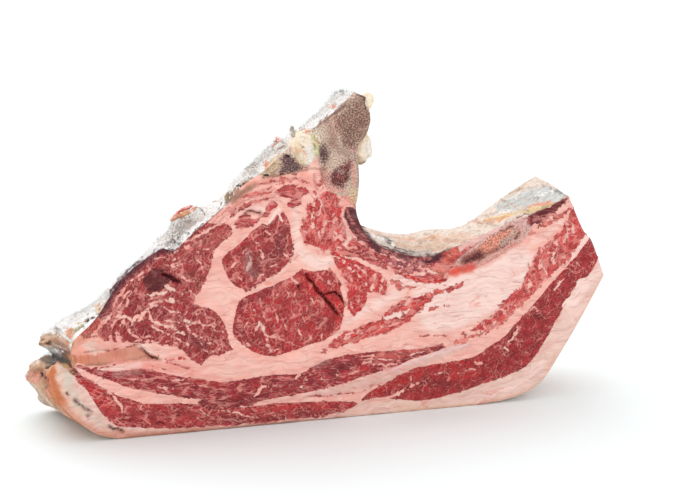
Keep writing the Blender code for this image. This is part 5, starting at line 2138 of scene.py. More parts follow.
def dress(made: bpy.types.Object, spots: Array, skin: Skin) -> None:
    """Store what a hide finish reads on a piece's points.

    Args:
        made: The piece.
        spots: Each point's place on the hide.
        skin: What is painted there.
    """
    add_values(made, "skin", spots)
    add_values(made, "hide_tint", skin.tint)
    add_values(made, "mould", skin.mould)
    add_values(made, "dirt", skin.dirt)
    add_values(made, "crack", skin.cleft)


def publish(piece: bpy.types.Object, slot: str, *nodes: str) -> None:
    """Make a piece ride, hide the nodes that it stands for, and log its slot.

    Args:
        piece: The piece.
        slot: Its slot.
        nodes: The nodes that it replaces.
    """
    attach(piece, BODY)
    if nodes:
        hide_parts(*nodes)
    LOG.info("%s: %d faces, slot %s", piece.name, len(piece.data.polygons), slot)


class CutPiece:
    """One piece of the slice, from its front cut through its side to its back cut."""

    edge_round = 1.1
    edge_reach = 2.4
    overlap = 0.3
    rows = 40
    row_share = 0.866
    clear_share = 0.55
    first_row = 0.3
    wall_reach = 3.0
    deep_in_bone = 2.0

    def __init__(self, plan: Plan, cut: Cut) -> None:
        """Take the piece's outline from the plan.

        Args:
            plan: The plan of the slice.
            cut: The piece's looks.
        """
        self.plan = plan
        self.cut = cut
        self.outline = plan.outlines[cut.node]
        self.outer = np.concatenate(self.outline.outer)

    def grown_loops(self) -> list[Array]:
        """Widen the loops a little where another piece lies beside them."""
        outline = self.outline
        return [
            loop + normals * np.where(outer, 0.0, self.overlap)[:, None]
            for loop, normals, outer in zip(outline.loops, outline.normals, outline.outer)
        ]

    def inner_points(self, loops: list[Array]) -> Array:
        """Fill the outline with points in rows.

        Args:
            loops: The outline.

        Returns:
            The points, none of them close to the outline.
        """
        step = self.cut.step
        every = np.vstack(loops)
        low, high = every.min(axis=0), every.max(axis=0)
        rows = []
        heights = np.arange(low[1] + self.first_row, high[1], step * self.row_share)
        for row, z in enumerate(heights):
            crossings = []
            for loop in loops:
                ahead = np.roll(loop, -1, axis=0)
                crosses = (loop[:, 1] > z) != (ahead[:, 1] > z)
                a, b = loop[crosses].T, ahead[crosses].T
                crossings += (a[0] + (z - a[1]) * (b[0] - a[0]) / (b[1] - a[1])).tolist()
            crossings.sort()
            offset = low[0] + (step / 2 if row % 2 else 0.0)
            for start, stop in zip(crossings[::2], crossings[1::2]):
                x = np.arange(offset + math.ceil((start - offset) / step) * step, stop, step)
                rows.append(np.column_stack([x, np.full(len(x), z)]))
        points = np.vstack(rows)
        return points[Lookup(every).nearest(points)[1] > step * self.clear_share]

    def filled(self, loops: list[Array]) -> tuple[Array, Array, Array]:
        """Mesh the front cut.

        Args:
            loops: Its outline.

        Returns:
            Its points, its triangles, and the place of each outline point among the points.
        """
        borders = []
        start = 0
        for loop in loops:
            ring = list(range(start, start + len(loop)))
            borders.append(ring if area(loop) > 0 else ring[::-1])
            start += len(loop)
        sown = np.vstack([*loops, self.inner_points(loops)]).tolist()
        result = delaunay_2d_cdt([Vector(point) for point in sown], [], borders, 1, 1e-5)
        flat = np.array([tuple(point) for point in result[0]])
        moved = {old: new for new, olds in enumerate(result[3]) for old in olds}
        cap = np.array([face for face, inside in zip(result[2], result[5]) if inside == [0]])
        return flat, cap, np.array([moved[index] for index in range(start)])

    def wall(self, rim: Array, count: int) -> Array:
        """Mesh the piece's side, with rows of points where it's outside the slice.

        Args:
            rim: The place of each outline point on the front cut.
            count: How many points each cut has.

        Returns:
            The triangles.
        """
        strips = [[int(front), int(front) + count] for front in rim]
        steps = self.rows - 1
        for order, index in enumerate(np.flatnonzero(self.outer)):
            first = 2 * count + order * steps
            strips[index][1:1] = range(first, first + steps)
        faces = []
        start = 0
        for loop in self.outline.loops:
            ring = strips[start : start + len(loop)]
            for left, right in zip(ring, ring[1:] + ring[:1]):
                faces += self.zipped(left, right)
            start += len(loop)
        return np.array(faces)

    def zipped(self, left: list[int], right: list[int]) -> list[tuple[int, int, int]]:
        """Fill the strip between two columns of points, front to back.

        Args:
            left: The one column.
            right: The next one, with as many points or with its two ends alone.

        Returns:
            The triangles.
        """
        if len(left) == len(right):
            pairs = zip(left, left[1:], right, right[1:])
            return [t for a, b, c, d in pairs for t in ((a, b, c), (b, d, c))]
        long, short = (left, right) if len(left) > len(right) else (right, left)
        middle = len(long) // 2
        fan = [(a, b, short[0]) for a, b in zip(long[:middle], long[1 : middle + 1])]
        fan += [(a, b, short[1]) for a, b in zip(long[middle:], long[middle + 1 :])]
        fan.append((long[middle], short[1], short[0]))
        return fan if long is left else [t[::-1] for t in fan]

    def build(self) -> bpy.types.Object:
        """Build the piece's mesh and paint it.

        Returns:
            The piece.
        """
        loops = self.grown_loops()
        flat, cap, rim = self.filled(loops)
        count = len(flat)
        # The back cut uses the same points, and the side has rows between the two.
        levels = np.linspace(0.0, 1.0, self.rows + 1)[1:-1]
        outer_rim = np.vstack(loops)[self.outer]
        both = np.vstack([flat, flat, np.repeat(outer_rim, len(levels), axis=0)])
        depth = np.concatenate([np.zeros(count), np.ones(count), np.tile(levels, len(outer_rim))])
        wall = self.wall(rim, count)
        canvas = self.painted(flat)
        sides, away, run = nearest_side(both)
        skin = self.skin_of(both, depth, sides, away)
        spots = self.placed(both, depth, outer_rim, canvas, skin)
        stretch, _, _ = nearest_side(both[wall].mean(axis=1))
        growing = np.isin(stretch, [index for index, side in enumerate(SIDES) if side.grows])
        self.wall_faces = wall[growing]
        self.wall_spots = spots
        self.wall_seen = skin.seen
        faces = np.vstack([cap, cap[:, ::-1] + count, wall])
        which = np.concatenate([np.zeros(2 * len(cap), int), stretch + 1])
        materials = [FINISHES[self.cut.node], *(FINISHES[side.name] for side in SIDES)]
        made = make_object(f"{self.cut.node}_cut", spots, faces, materials, which)
        back = depth * self.plan.slice.thickness
        self.store(made, both, back, canvas)
        dress(made, np.column_stack([run, back, away]), skin)
        return made

    def painted(self, flat: Array) -> Canvas:
        """Paint the cut face's marks.

        Args:
            flat: The drawing place of each point.

        Returns:
            What is painted.
        """
        nearest, away = self.plan.shore.nearest(flat)
        fatness = -away if self.cut.kind is Kind.LEAN else away
        if self.cut.kind is Kind.BONE:
            fatness = np.full(len(flat), self.deep_in_bone)
        canvas = Canvas(flat, self.cut, fatness, self.plan.shore_owner[nearest])
        for mark in MARKS:
            canvas.paint(mark)
        return canvas

    def skin_of(self, both: Array, depth: Array, sides: Array, away: Array) -> Skin:
        """Paint the outside of the piece.

        Args:
            both: The drawing place of each point.
            depth: Each one's depth, 0 to 1.
            sides: The place in SIDES of the side it is nearest to.
            away: How far away that side is.

        Returns:
            What is painted.
        """
        cut_slice = self.plan.slice
        own = self.cut.lean if self.cut.kind is Kind.LEAN else self.cut.fat
        skin = Skin(
            cut_slice.laid_flat(cut_slice.drifted(both, depth), depth),
            depth * cut_slice.thickness,
            np.array([(own if side.layered else side.tint).light for side in SIDES])[sides],
            np.array([side.mould for side in SIDES])[sides],
            np.array([side.dirt for side in SIDES])[sides],
        )
        for index, side in enumerate(SIDES):
            for mark in side.marks:
                skin.paint(mark, (sides == index) & (away < self.wall_reach))
        return skin

    def placed(
        self, both: Array, depth: Array, outer_rim: Array, canvas: Canvas, skin: Skin
    ) -> Array:
        """Give every point its place, with the relief of the cuts and of the side.

        Args:
            both: The drawing place of each point.
            depth: Each one's depth, 0 to 1.
            outer_rim: The points of the outline that are outside.
            canvas: What is painted on the cuts.
            skin: What is painted on the side.

        Returns:
            The places in part millimetres.
        """
        plan = self.plan
        flat = canvas.flat
        count = len(flat)
        spots = plan.slice.placed(both, depth)
        edge_away = plan.outer.nearest(flat)[1]
        push = self.edge_round * np.clip(1.0 - edge_away / self.edge_reach, 0.0, 1.0) ** 2
        rise = self.rise(flat, canvas) * smooth_step(0.0, 2.0, edge_away) - push
        spots[:count, 1] -= rise
        spots[count : 2 * count, 1] += rise
        side_flat, side_depth = both[2 * count :], depth[2 * count :]
        normals = np.repeat(plan.wall_normals(outer_rim), self.rows - 1, axis=0)
        bumps = plan.slice.relief(side_flat, normals, side_depth)
        bumps += self.fine_relief(side_flat, normals, side_depth)
        ends = smooth_step(0.0, 0.06, side_depth) * smooth_step(1.0, 0.94, side_depth)
        bumps += skin.lift[2 * count :] * ends
        out = spots[2 * count :]
        out[:, 0] += normals[:, 0] * bumps
        out[:, 2] = np.maximum(out[:, 2] + normals[:, 1] * bumps, 0.0)
        return spots

    def rise(self, flat: Array, canvas: Canvas) -> Array:
        """Work out how far the cut face stands out.

        Args:
            flat: Places on the cut.
            canvas: What is painted there.

        Returns:
            A height for each, in millimetres.
        """
        swell = 0.45 * lattice_noise(flat / 16.0, 11) + 0.22 * lattice_noise(flat / 5.0, 12)
        grit = 0.12 * lattice_noise(flat / 2.2, 13)
        return swell + grit + 0.25 * smooth_step(-0.8, 0.8, canvas.fatness) + canvas.lift

    def fine_relief(self, flat: Array, normals: Array, depth: Array) -> Array:
        """Work out the crumbling and the wrinkles of the side.

        Args:
            flat: Places on the drawing.
            normals: The outward direction at each.
            depth: Each one's depth, 0 to 1.

        Returns:
            A height for each, in millimetres.
        """
        spots = np.column_stack([flat, depth * self.plan.slice.thickness])
        medial = self.plan.slice.medial_share(normals)
        crumbs = 1.3 * lattice_noise(spots / 6.5, 21) + 0.9 * lattice_noise(spots / 3.2, 22)
        wrinkle = 0.22 * lattice_noise(spots / (9.0, 9.0, 3.5), 23)
        inside = np.sin(np.pi * np.clip(depth, 0, 1)) ** 0.35
        return (crumbs * medial + wrinkle * (1 - medial)) * inside * smooth_step(0, 10, flat[:, 1])

    def store(self, made: bpy.types.Object, both: Array, back: Array, canvas: Canvas) -> None:
        """Store what the cut face's finish reads.

        Args:
            made: The piece.
            both: The drawing place of each point.
            back: How far each lies behind the front cut, in millimetres.
            canvas: What is painted on the cuts.
        """
        turn = math.radians(self.cut.grain)
        side, up = math.cos(turn), math.sin(turn)
        axes = np.array(((side, -up), (up, side)))
        add_values(made, "grain", np.column_stack([both @ axes, back]))
        rest = len(both) - 2 * len(canvas.flat)
        painted = {
            "fatness": canvas.fatness,
            "rag": canvas.rag,
            "cleft": canvas.cleft,
            "lean_tint": canvas.lean_tint,
            "fat_tint": canvas.fat_tint,
        }
        for name, values in painted.items():
            plain = np.zeros((rest, *values.shape[1:]))
            add_values(made, name, np.concatenate([values, values, plain]))


# ------------ nubs and scraps


def plain_skin(cut_slice: Slice, spots: Array, tone: Tone, mould: float, dirt: float) -> Skin:
    """Start the skin of a piece that stands on its own.

    Args:
        cut_slice: The slice that the drawing shows.
        spots: The piece's points in drawing millimetres.
        tone: Its colour.
        mould: How far it is covered in mould.
        dirt: How far it is speckled.

    Returns:
        The skin, ready for marks.
    """
    depth = spots[:, 1] / cut_slice.thickness + 0.5
    seen = cut_slice.laid_flat(spots[:, [0, 2]], depth)
    tint = np.tile(tone.light, (len(spots), 1))
    return Skin(seen, spots[:, 1], tint, np.full(len(spots), mould), np.full(len(spots), dirt))


@dataclass(frozen=True)
class Nub:
    """A rounded lump of cartilage or soft fat that swells out beside the bone."""

    node: str
    slot: str
    centre: Place
    radii: Place
    turn: float
    finish: Hide
    tone: Tone
    marks: tuple[Mark, ...] = ()
    fold: float = 0.7
    mould: float = 0.05
    dirt: float = 0.15
    subdivisions: int = 5

    def build(self, cut_slice: Slice) -> bpy.types.Object:
        """Build the lump.

        Args:
            cut_slice: The slice that it sits on.

        Returns:
            Its object.
        """
        ball = bmesh.new()
        bmesh.ops.create_icosphere(ball, subdivisions=self.subdivisions, radius=1.0)
        out = np.array([tuple(vert.co) for vert in ball.verts])
        faces = [[vert.index for vert in face.verts] for face in ball.faces]
        ball.free()
        swell = 1.0 + 0.12 * lattice_noise(out * 1.7 + np.array(self.centre), 51)
        spots = out * np.array(self.radii) * swell[:, None]
        spots += out * (self.fold * lattice_noise(spots / (4.2, 4.2, 3.0), 52))[:, None]
        spots += out * (0.35 * self.fold * lattice_noise(spots / 1.6, 53))[:, None]
        side, up = math.cos(self.turn), math.sin(self.turn)
        x, y, z = spots.T
        spots = np.column_stack([x * side + z * up, y, z * side - x * up]) + np.array(self.centre)
        skin = plain_skin(cut_slice, spots, self.tone, self.mould, self.dirt)
        for mark in self.marks:
            skin.paint(mark)
        moved = spots + np.array((cut_slice.shift(), 0.0, 0.0))
        made = make_object(f"{self.node}_lump", moved, faces, [self.finish.material()])
        dress(made, spots, skin)
        return made


NUBS = (
    Nub(
        "cartilage_bulb", "cartilage", (-22.9, -26.0, 188.2), (10.0, 11.0, 12.4), 0.2,
        Hide("bulb_skin", 1.0, Tone.MEMBRANE, 0.5, 0.3), Tone.GRISTLE,
        (
            *wash(Tone.STRAW, 4.5, 0.6, (-31, 184, -28, 192), (-30, 182, -26, 180)),
            *wash(Tone.OCHRE, 2.4, 0.6, (-29, 188, -25, 187.6, -22.6, 184)),
            *wash(Tone.LIME, 3, 0.9, (-18, 198, -15, 191, -16, 184)),
            *wash(Tone.FLAKE, 1.7, 0.85, (-22.6, 200.4, -18, 199, -14.6, 194)),
            *wash(Tone.GREEN, 1.3, 0.9, (-17.4, 192, -16.6, 188.6)),
            *wash(Tone.CRUST, 3.6, 0.8, (-21, 189, -19.4, 182)),
            *wash(
                Tone.BROWN, 1.1, 0.85, (-31.5, 184, -27, 179.6, -21, 177.4),
                (-25.8, 191.8, -24.4, 190.2),
            ),
            *marks(Act.CLEFT, Tone.BLACK, 0.7, 1, (-25.4, 191.2, -24.8, 190.2)),
        ),
        1.2,
    ),
    Nub(
        "cartilage_pad", "cartilage", (15.4, -22.0, 186.6), (8.2, 9.8, 11.2), -0.1,
        Hide("pad_skin", 1.0, Tone.MEMBRANE, 0.4, 0.2), Tone.GRISTLE,
        (
            *wash(Tone.TAN, 2.4, 0.7, (14, 195, 12.6, 187, 13.6, 179)),
            *wash(Tone.BROWN, 2, 0.85, (14, 177.6, 18, 178, 23, 181.6)),
            *wash(Tone.ASH, 1.2, 0.4, (17, 192, 18.4, 185)),
            *wash(Tone.CRUST, 3, 0.6, (19, 190, 20, 184)),
        ),
    ),
    Nub(
        "fat_nub", "outer_fat", (19.4, -26.0, 217.4), (4.3, 5.4, 5.8), 0.2,
        Hide("nub_skin", 1.0, Tone.MEMBRANE, 0.4, 0.1), Tone.SOFT_FAT,
        wash(Tone.YELLOW, 2.4, 0.5, (18, 214, 21, 213)),
    ),
)


@dataclass(frozen=True)
class Scrap:
    """A dried scrap that stands off the crust, as a ribbon along a path of drawing places."""

    path: Path
    heights: tuple[float, ...]
    middle: float
    reach: float
    tone: Tone
    mould: float
    seed: int


@dataclass(frozen=True)
class Scraps:
    """The dried scraps on the crust."""

    cut_slice: Slice
    round_steps: int = 20
    pitch: float = 0.5
    thinnest: float = 0.35
    dirt: float = 0.35
    scraps: tuple[Scrap, ...] = (
        Scrap(
            ((-17, 199.4), (-22, 198.6), (-26.6, 197.6), (-30, 198.6), (-31.6, 201.4),
             (-31.4, 204)),
            (1.4, 3.0, 3.8, 3.2, 2.0, 0.6), -21, 8, Tone.FLAP, 0.35, 61,
        ),
        Scrap(
            ((-112, 147), (-108, 149), (-104, 150.4), (-99, 152), (-95, 154.6)),
            (0.4, 1.1, 1.5, 1.2, 0.3), -8, 8, Tone.FLAKE_PALE, 0.3, 62,
        ),
        Scrap(
            ((-109, 150), (-106, 152.6), (-102, 153.8), (-98, 156)),
            (0.4, 1.1, 1.1, 0.3), -2, 6, Tone.BLUSH, 0.3, 63,
        ),
        Scrap(
            ((-45, 192), (-42, 195.6), (-38, 196.4)),
            (0.6, 1.8, 0.6), -6, 5, Tone.BLUSH, 0.5, 64,
        ),
        Scrap(
            ((-208, 49), (-204, 52), (-200, 52.6)),
            (0.6, 2.4, 1.0), 24, 7, Tone.LOBE_PINK, 0.2, 65,
        ),
        Scrap(
            ((-198.6, 71), (-194, 72), (-188, 72.6)),
            (0.8, 2.2, 1.6), 18, 10, Tone.TAN, 0.2, 66,
        ),
    )
    stain: tuple[Mark, ...] = wash(Tone.YELLOW, 2, 0.8, (-102.6, 150.4, -99.6, 151))

    def ribbon(self, scrap: Scrap) -> tuple[Array, list[list[int]]]:
        """Build one scrap.

        Args:
            scrap: Its sizes.

        Returns:
            Its points in drawing millimetres, and its faces.
        """
        line = smooth_path(scrap.path, self.pitch)
        count, steps = len(line), self.round_steps
        run = np.linspace(0.0, 1.0, count)
        heights = np.interp(run, np.linspace(0.0, 1.0, len(scrap.heights)), scrap.heights)
        along = np.gradient(line, axis=0)
        across = np.column_stack([-along[:, 1], along[:, 0]])
        across /= np.hypot(*across.T)[:, None]
        turns = np.linspace(0.0, 2 * math.pi, steps, endpoint=False)
        rings = []
        for (x, z), (out, up), height in zip(line, across, heights):
            share = self.thinnest + (1 - self.thinnest) * height / heights.max()
            high, wide = np.cos(turns) * height, np.sin(turns) * scrap.reach * share
            rings.append(np.column_stack([x + out * high, scrap.middle + wide, z + up * high]))
        spots = np.vstack(rings)
        seed = scrap.seed
        spots += noise_columns(spots / 4.5, seed, seed + 10, seed + 20) * (0.9, 2.2, 1.1)
        spots += noise_columns(spots / 1.7, seed + 1, seed + 11, seed + 21) * (0.4, 0.5, 0.45)
        spots = np.vstack([spots, spots[:steps].mean(axis=0), spots[-steps:].mean(axis=0)])
        depth = spots[:, 1] / self.cut_slice.thickness + 0.5
        spots[:, [0, 2]] = self.cut_slice.behind(spots[:, [0, 2]], depth)
        faces = []
        for row, step in itertools.product(range(count - 1), range(steps)):
            here, ahead, after = row * steps, (row + 1) * steps, (step + 1) % steps
            faces.append([here + step, ahead + step, ahead + after, here + after])
        last = (count - 1) * steps
        for step in range(steps):
            after = (step + 1) % steps
            faces.append([step, after, count * steps])
            faces.append([last + after, last + step, count * steps + 1])
        return spots, faces

    def build(self) -> bpy.types.Object:
        """Build all the scraps as one piece.

        Returns:
            The piece.
        """
        spots, faces, tints, mould = [], [], [], []
        start = 0
        for scrap in self.scraps:
            points, quads = self.ribbon(scrap)
            faces += [[corner + start for corner in quad] for quad in quads]
            start += len(points)
            spots.append(points)
            tints.append(np.tile(scrap.tone.light, (len(points), 1)))
            mould.append(np.full(len(points), scrap.mould))
        every = np.vstack(spots)
        skin = plain_skin(self.cut_slice, every, Tone.FLAP, 0.0, self.dirt)
        skin.tint, skin.mould = np.vstack(tints), np.concatenate(mould)
        for mark in self.stain:
            skin.paint(mark)
        moved = every + np.array((self.cut_slice.shift(), 0.0, 0.0))
        finish = Hide("scrap_skin", 1.0, Tone.CRUST, 0.8, 0.6)
        made = make_object("dried_scraps", moved, faces, [finish.material()])
        fix = bmesh.new()
        fix.from_mesh(made.data)
        bmesh.ops.recalc_face_normals(fix, faces=fix.faces)
        fix.to_mesh(made.data)
        fix.free()
        dress(made, every, skin)
        return made


# ------------ what grows on the crust


class Ground:
    """The outside walls that mould and crumbs grow on."""

    def __init__(self) -> None:
        """Start with no wall."""
        self.spots: list[Array] = []
        self.faces: list[Array] = []
        self.seen: list[Array] = []
        self.count = 0

    def gather(self, piece: CutPiece) -> None:
        """Keep the outside wall of a finished piece.

        Args:
            piece: The piece.
        """
        if not len(piece.wall_faces):
            return
        used, index = np.unique(piece.wall_faces, return_inverse=True)
        self.faces.append(index.reshape(-1, 3) + self.count)
        self.spots.append(piece.wall_spots[used])
        self.seen.append(piece.wall_seen[used])
        self.count += len(used)

    def emitter(self, patches: Sequence[Mark]) -> bpy.types.Object:
        """Make a wall whose points say how thickly each patch grows.

        Args:
            patches: The patches, each as strong as it grows thickly.

        Returns:
            The wall, for Geometry Nodes to grow on.
        """
        seen = np.vstack(self.seen)
        growth = np.zeros(len(seen))
        for patch in patches:
            away, _ = to_line(seen, smooth_path(patch.path))
            share = 1.0 - smooth_step(patch.width * 0.4, patch.width, away)
            growth = np.maximum(growth, share * patch.strength)
        made = make_object("ground", np.vstack(self.spots), np.vstack(self.faces), [])
        add_values(made, "growth", growth)
        return made


class Weave:
    """A Geometry Nodes tree in the making."""

    def __init__(self, name: str) -> None:
        """Make a tree that takes and gives a geometry.

        Args:
            name: The tree's name.
        """
        self.group = bpy.data.node_groups.new(name, "GeometryNodeTree")
        self.sizes: dict[str, float] = {}
        for way in ("INPUT", "OUTPUT"):
            self.group.interface.new_socket(
                "Geometry", in_out=way, socket_type="NodeSocketGeometry"
            )
        self.source = self.group.nodes.new("NodeGroupInput")

    def ask(self, name: str, value: float) -> bpy.types.NodeSocket:
        """Add a named input for a size or a seed.

        Args:
            name: The input's name.
            value: Its value, a whole number for a seed.

        Returns:
            The socket that gives it.
        """
        kind = "NodeSocketInt" if isinstance(value, int) else "NodeSocketFloat"
        item = self.group.interface.new_socket(name, in_out="INPUT", socket_type=kind)
        self.sizes[item.identifier] = value
        return self.source.outputs[name]

    def add(
        self,
        kind: str,
        inputs: dict[str | int, object] | None = None,
        output: str | int = 0,
        **settings: str,
    ) -> bpy.types.NodeSocket:
        """Add a node, as add_node does, and hand back one of its outputs."""
        return add_node(self.group, kind, settings, inputs).outputs[output]

    def random(self, low: float, high: float, seed: bpy.types.NodeSocket) -> bpy.types.NodeSocket:
        """A random value between two bounds."""
        return self.add("FunctionNodeRandomValue", {2: low, 3: high, "Seed": seed}, 1)

    def random_vector(
        self, low: Place, high: Place, seed: bpy.types.NodeSocket
    ) -> bpy.types.NodeSocket:
        """A random vector between two bounds."""
        inputs = {0: low, 1: high, "Seed": seed}
        return self.add("FunctionNodeRandomValue", inputs, data_type="FLOAT_VECTOR")

    def finish(self, instances: bpy.types.NodeSocket, material: bpy.types.Material) -> None:
        """Realize what is scattered, give it its material and send it out.

        Args:
            instances: What is scattered.
            material: Its material.
        """
        real = self.add("GeometryNodeRealizeInstances", {0: instances})
        dressed = self.add("GeometryNodeSetMaterial", {0: real, "Material": material})
        smooth = self.add("GeometryNodeSetShadeSmooth", {0: dressed})
        add_node(self.group, "NodeGroupOutput", None, {0: smooth})

    def grown(self, name: str, ground: bpy.types.Object) -> bpy.types.Object:
        """Run the tree on a ground and keep the result as a plain mesh.

        Args:
            name: The new piece's name.
            ground: What it grows on, which is then removed.

        Returns:
            The new piece.
        """
        modifier = ground.modifiers.new(name, "NODES")
        modifier.node_group = self.group
        for identifier, value in self.sizes.items():
            modifier[identifier] = value
        shaped = ground.evaluated_get(bpy.context.evaluated_depsgraph_get())
        mesh = bpy.data.meshes.new_from_object(shaped)
        mesh.name = name
        ground.modifiers.remove(modifier)
        bpy.data.objects.remove(ground)
        return linked(name, mesh)


@dataclass(frozen=True)
class Fuzz:
    """The finish of mould hairs."""

    name: str
    tone: Tone
    other: Tone

    def material(self) -> bpy.types.Material:
        """Build the material.

        Returns:
            The material.
        """
        tree = Tree(self.name)
        patch = tree.clouds(tree.place(), 5.0)
        colour = tree.mix(patch.ease(0.4, 0.6), self.tone, self.other)
        return tree.finish(colour, 0.8 + patch * 0.1, patch * 0.1, 0.1)


@dataclass(frozen=True)
class Grit:
    """The finish of dried crumbs."""

    name: str

    def material(self) -> bpy.types.Material:
        """Build the material.

        Returns:
            The material.
        """
        tree = Tree(self.name)
        kind = tree.clouds(tree.place(), 2.6)
        speck = tree.clouds(tree.place(), 0.8, 3.0)
        colour = tree.mix(kind.ease(0.30, 0.38), Tone.SLATE, Tone.CRUST)
        colour = tree.mix(kind.ease(0.56, 0.62), colour, Tone.PALE_CRUST)
        colour = tree.mix(kind.ease(0.66, 0.70), colour, Tone.OCHRE)
        colour = tree.brighten(colour, 0.8 + speck * 0.5)
        return tree.finish(colour, 0.75 + speck * 0.15, speck * 0.4, 0.15)


@dataclass(frozen=True)
class Growth:
    """Something small that Geometry Nodes scatter over the crust."""

    name: str
    finish: Fuzz | Grit
    patches: tuple[Mark, ...]
    density: float
    seed: int

    def scattered(self, weave: Weave, label: str) -> tuple[bpy.types.Node, bpy.types.NodeSocket]:
        """Scatter points as thickly as the ground says.

        Args:
            weave: The tree.
            label: The name of the density's input.

        Returns:
            The node that scatters them, and the seed.
        """
        density = weave.ask(label, self.density / MM**2)
        seed = weave.ask("Seed", self.seed)
        growth = weave.add("GeometryNodeInputNamedAttribute", {"Name": "growth"})
        local = weave.add("ShaderNodeMath", {0: growth, 1: density}, operation="MULTIPLY")
        inputs = {"Mesh": weave.source.outputs["Geometry"], "Density": local, "Seed": seed}
        return add_node(weave.group, "GeometryNodeDistributePointsOnFaces", None, inputs), seed


@dataclass(frozen=True)
class Hairs(Growth):
    """Fine mould hairs that stand up from the crust."""

    length: float
    thickness: float = 0.09
    spread: float = 0.75

    def build(self, ground: Ground) -> bpy.types.Object:
        """Grow the hairs with Geometry Nodes.

        Args:
            ground: What they grow on.

        Returns:
            The hairs as one piece.
        """
        weave = Weave(self.name)
        points, seed = self.scattered(weave, "Hairs per square metre")
        shortest = weave.ask("Shortest hair", self.length * 0.35 * MM)
        longest = weave.ask("Longest hair", self.length * MM)
        thickness = weave.ask("Hair radius", self.thickness / self.length)
        bend = {"Start": (0, 0, -0.04), "Middle": (0.1, 0, 0.55), "End": (0.5, 0.05, 0.95)}
        hair = weave.add("GeometryNodeCurveQuadraticBezier", {"Resolution": 5, **bend})
        along = weave.add("GeometryNodeSplineParameter")
        taper = weave.add("ShaderNodeMapRange", {"Value": along, "To Min": 1.0, "To Max": 0.15})
        thin = weave.add("ShaderNodeMath", {0: taper, 1: thickness}, operation="MULTIPLY")
        ring = weave.add("GeometryNodeCurvePrimitiveCircle", {"Resolution": 3, "Radius": 1.0})
        profile = {0: hair, 1: ring, "Scale": thin, "Fill Caps": True}
        strand = weave.add("GeometryNodeCurveToMesh", profile)
        lean = weave.random_vector((-self.spread,) * 3, (self.spread,) * 3, seed)
        outward = {0: points.outputs["Normal"], 1: lean}
        toward = weave.add("ShaderNodeVectorMath", outward, operation="ADD")
        spin = weave.random_vector((0.0, 0.0, 0.0), (0.0, 0.0, math.tau), seed)
        turned = weave.add("FunctionNodeEulerToRotation", {0: spin})
        facing = {"Rotation": turned, "Vector": toward}
        placing = {
            "Points": points.outputs["Points"],
            "Instance": strand,
            "Rotation": weave.add("FunctionNodeAlignRotationToVector", facing, axis="Z"),
            "Scale": weave.random(shortest, longest, seed),
        }
        weave.finish(weave.add("GeometryNodeInstanceOnPoints", placing), self.finish.material())
        return weave.grown(self.name, ground.emitter(self.patches))


@dataclass(frozen=True)
class Crumbs(Growth):
    """Dried crumbs on the crust."""

    smallest: float
    largest: float
    unevenness: float = 0.45
    lumps_per_metre: float = 900.0

    def build(self, ground: Ground) -> bpy.types.Object:
        """Scatter the crumbs with Geometry Nodes.

        Args:
            ground: What they lie on.

        Returns:
            The crumbs as one piece.
        """
        weave = Weave(self.name)
        points, seed = self.scattered(weave, "Crumbs per square metre")
        smallest = weave.ask("Smallest crumb radius", self.smallest * MM)
        largest = weave.ask("Largest crumb radius", self.largest * MM)
        unevenness = weave.ask("Unevenness", self.unevenness)
        uneven = weave.random_vector((0.55, 0.55, 0.4), (1.25, 1.25, 0.9), seed)
        length = {0: uneven, "Scale": weave.random(smallest, largest, seed)}
        placing = {
            "Points": points.outputs["Points"],
            "Instance": weave.add("GeometryNodeMeshUVSphere", {"Segments": 6, "Rings": 4}),
            "Rotation": weave.random_vector((0.0, 0.0, 0.0), (math.tau,) * 3, seed),
            "Scale": weave.add("ShaderNodeVectorMath", length, operation="SCALE"),
        }
        placed = weave.add("GeometryNodeInstanceOnPoints", placing)
        real = weave.add("GeometryNodeRealizeInstances", {0: placed})
        lumps = {"Scale": self.lumps_per_metre, "Detail": 1.0}
        lumps = {0: weave.add("ShaderNodeTexNoise", lumps, "Color"), 1: (0.5, 0.5, 0.5)}
        centred = weave.add("ShaderNodeVectorMath", lumps, operation="SUBTRACT")
        reach = weave.add("ShaderNodeMath", {0: largest, 1: unevenness}, operation="MULTIPLY")
        push = weave.add("ShaderNodeVectorMath", {0: centred, "Scale": reach}, operation="SCALE")
        rough = weave.add("GeometryNodeSetPosition", {0: real, "Offset": push})
        weave.finish(rough, self.finish.material())
        return weave.grown(self.name, ground.emitter(self.patches))


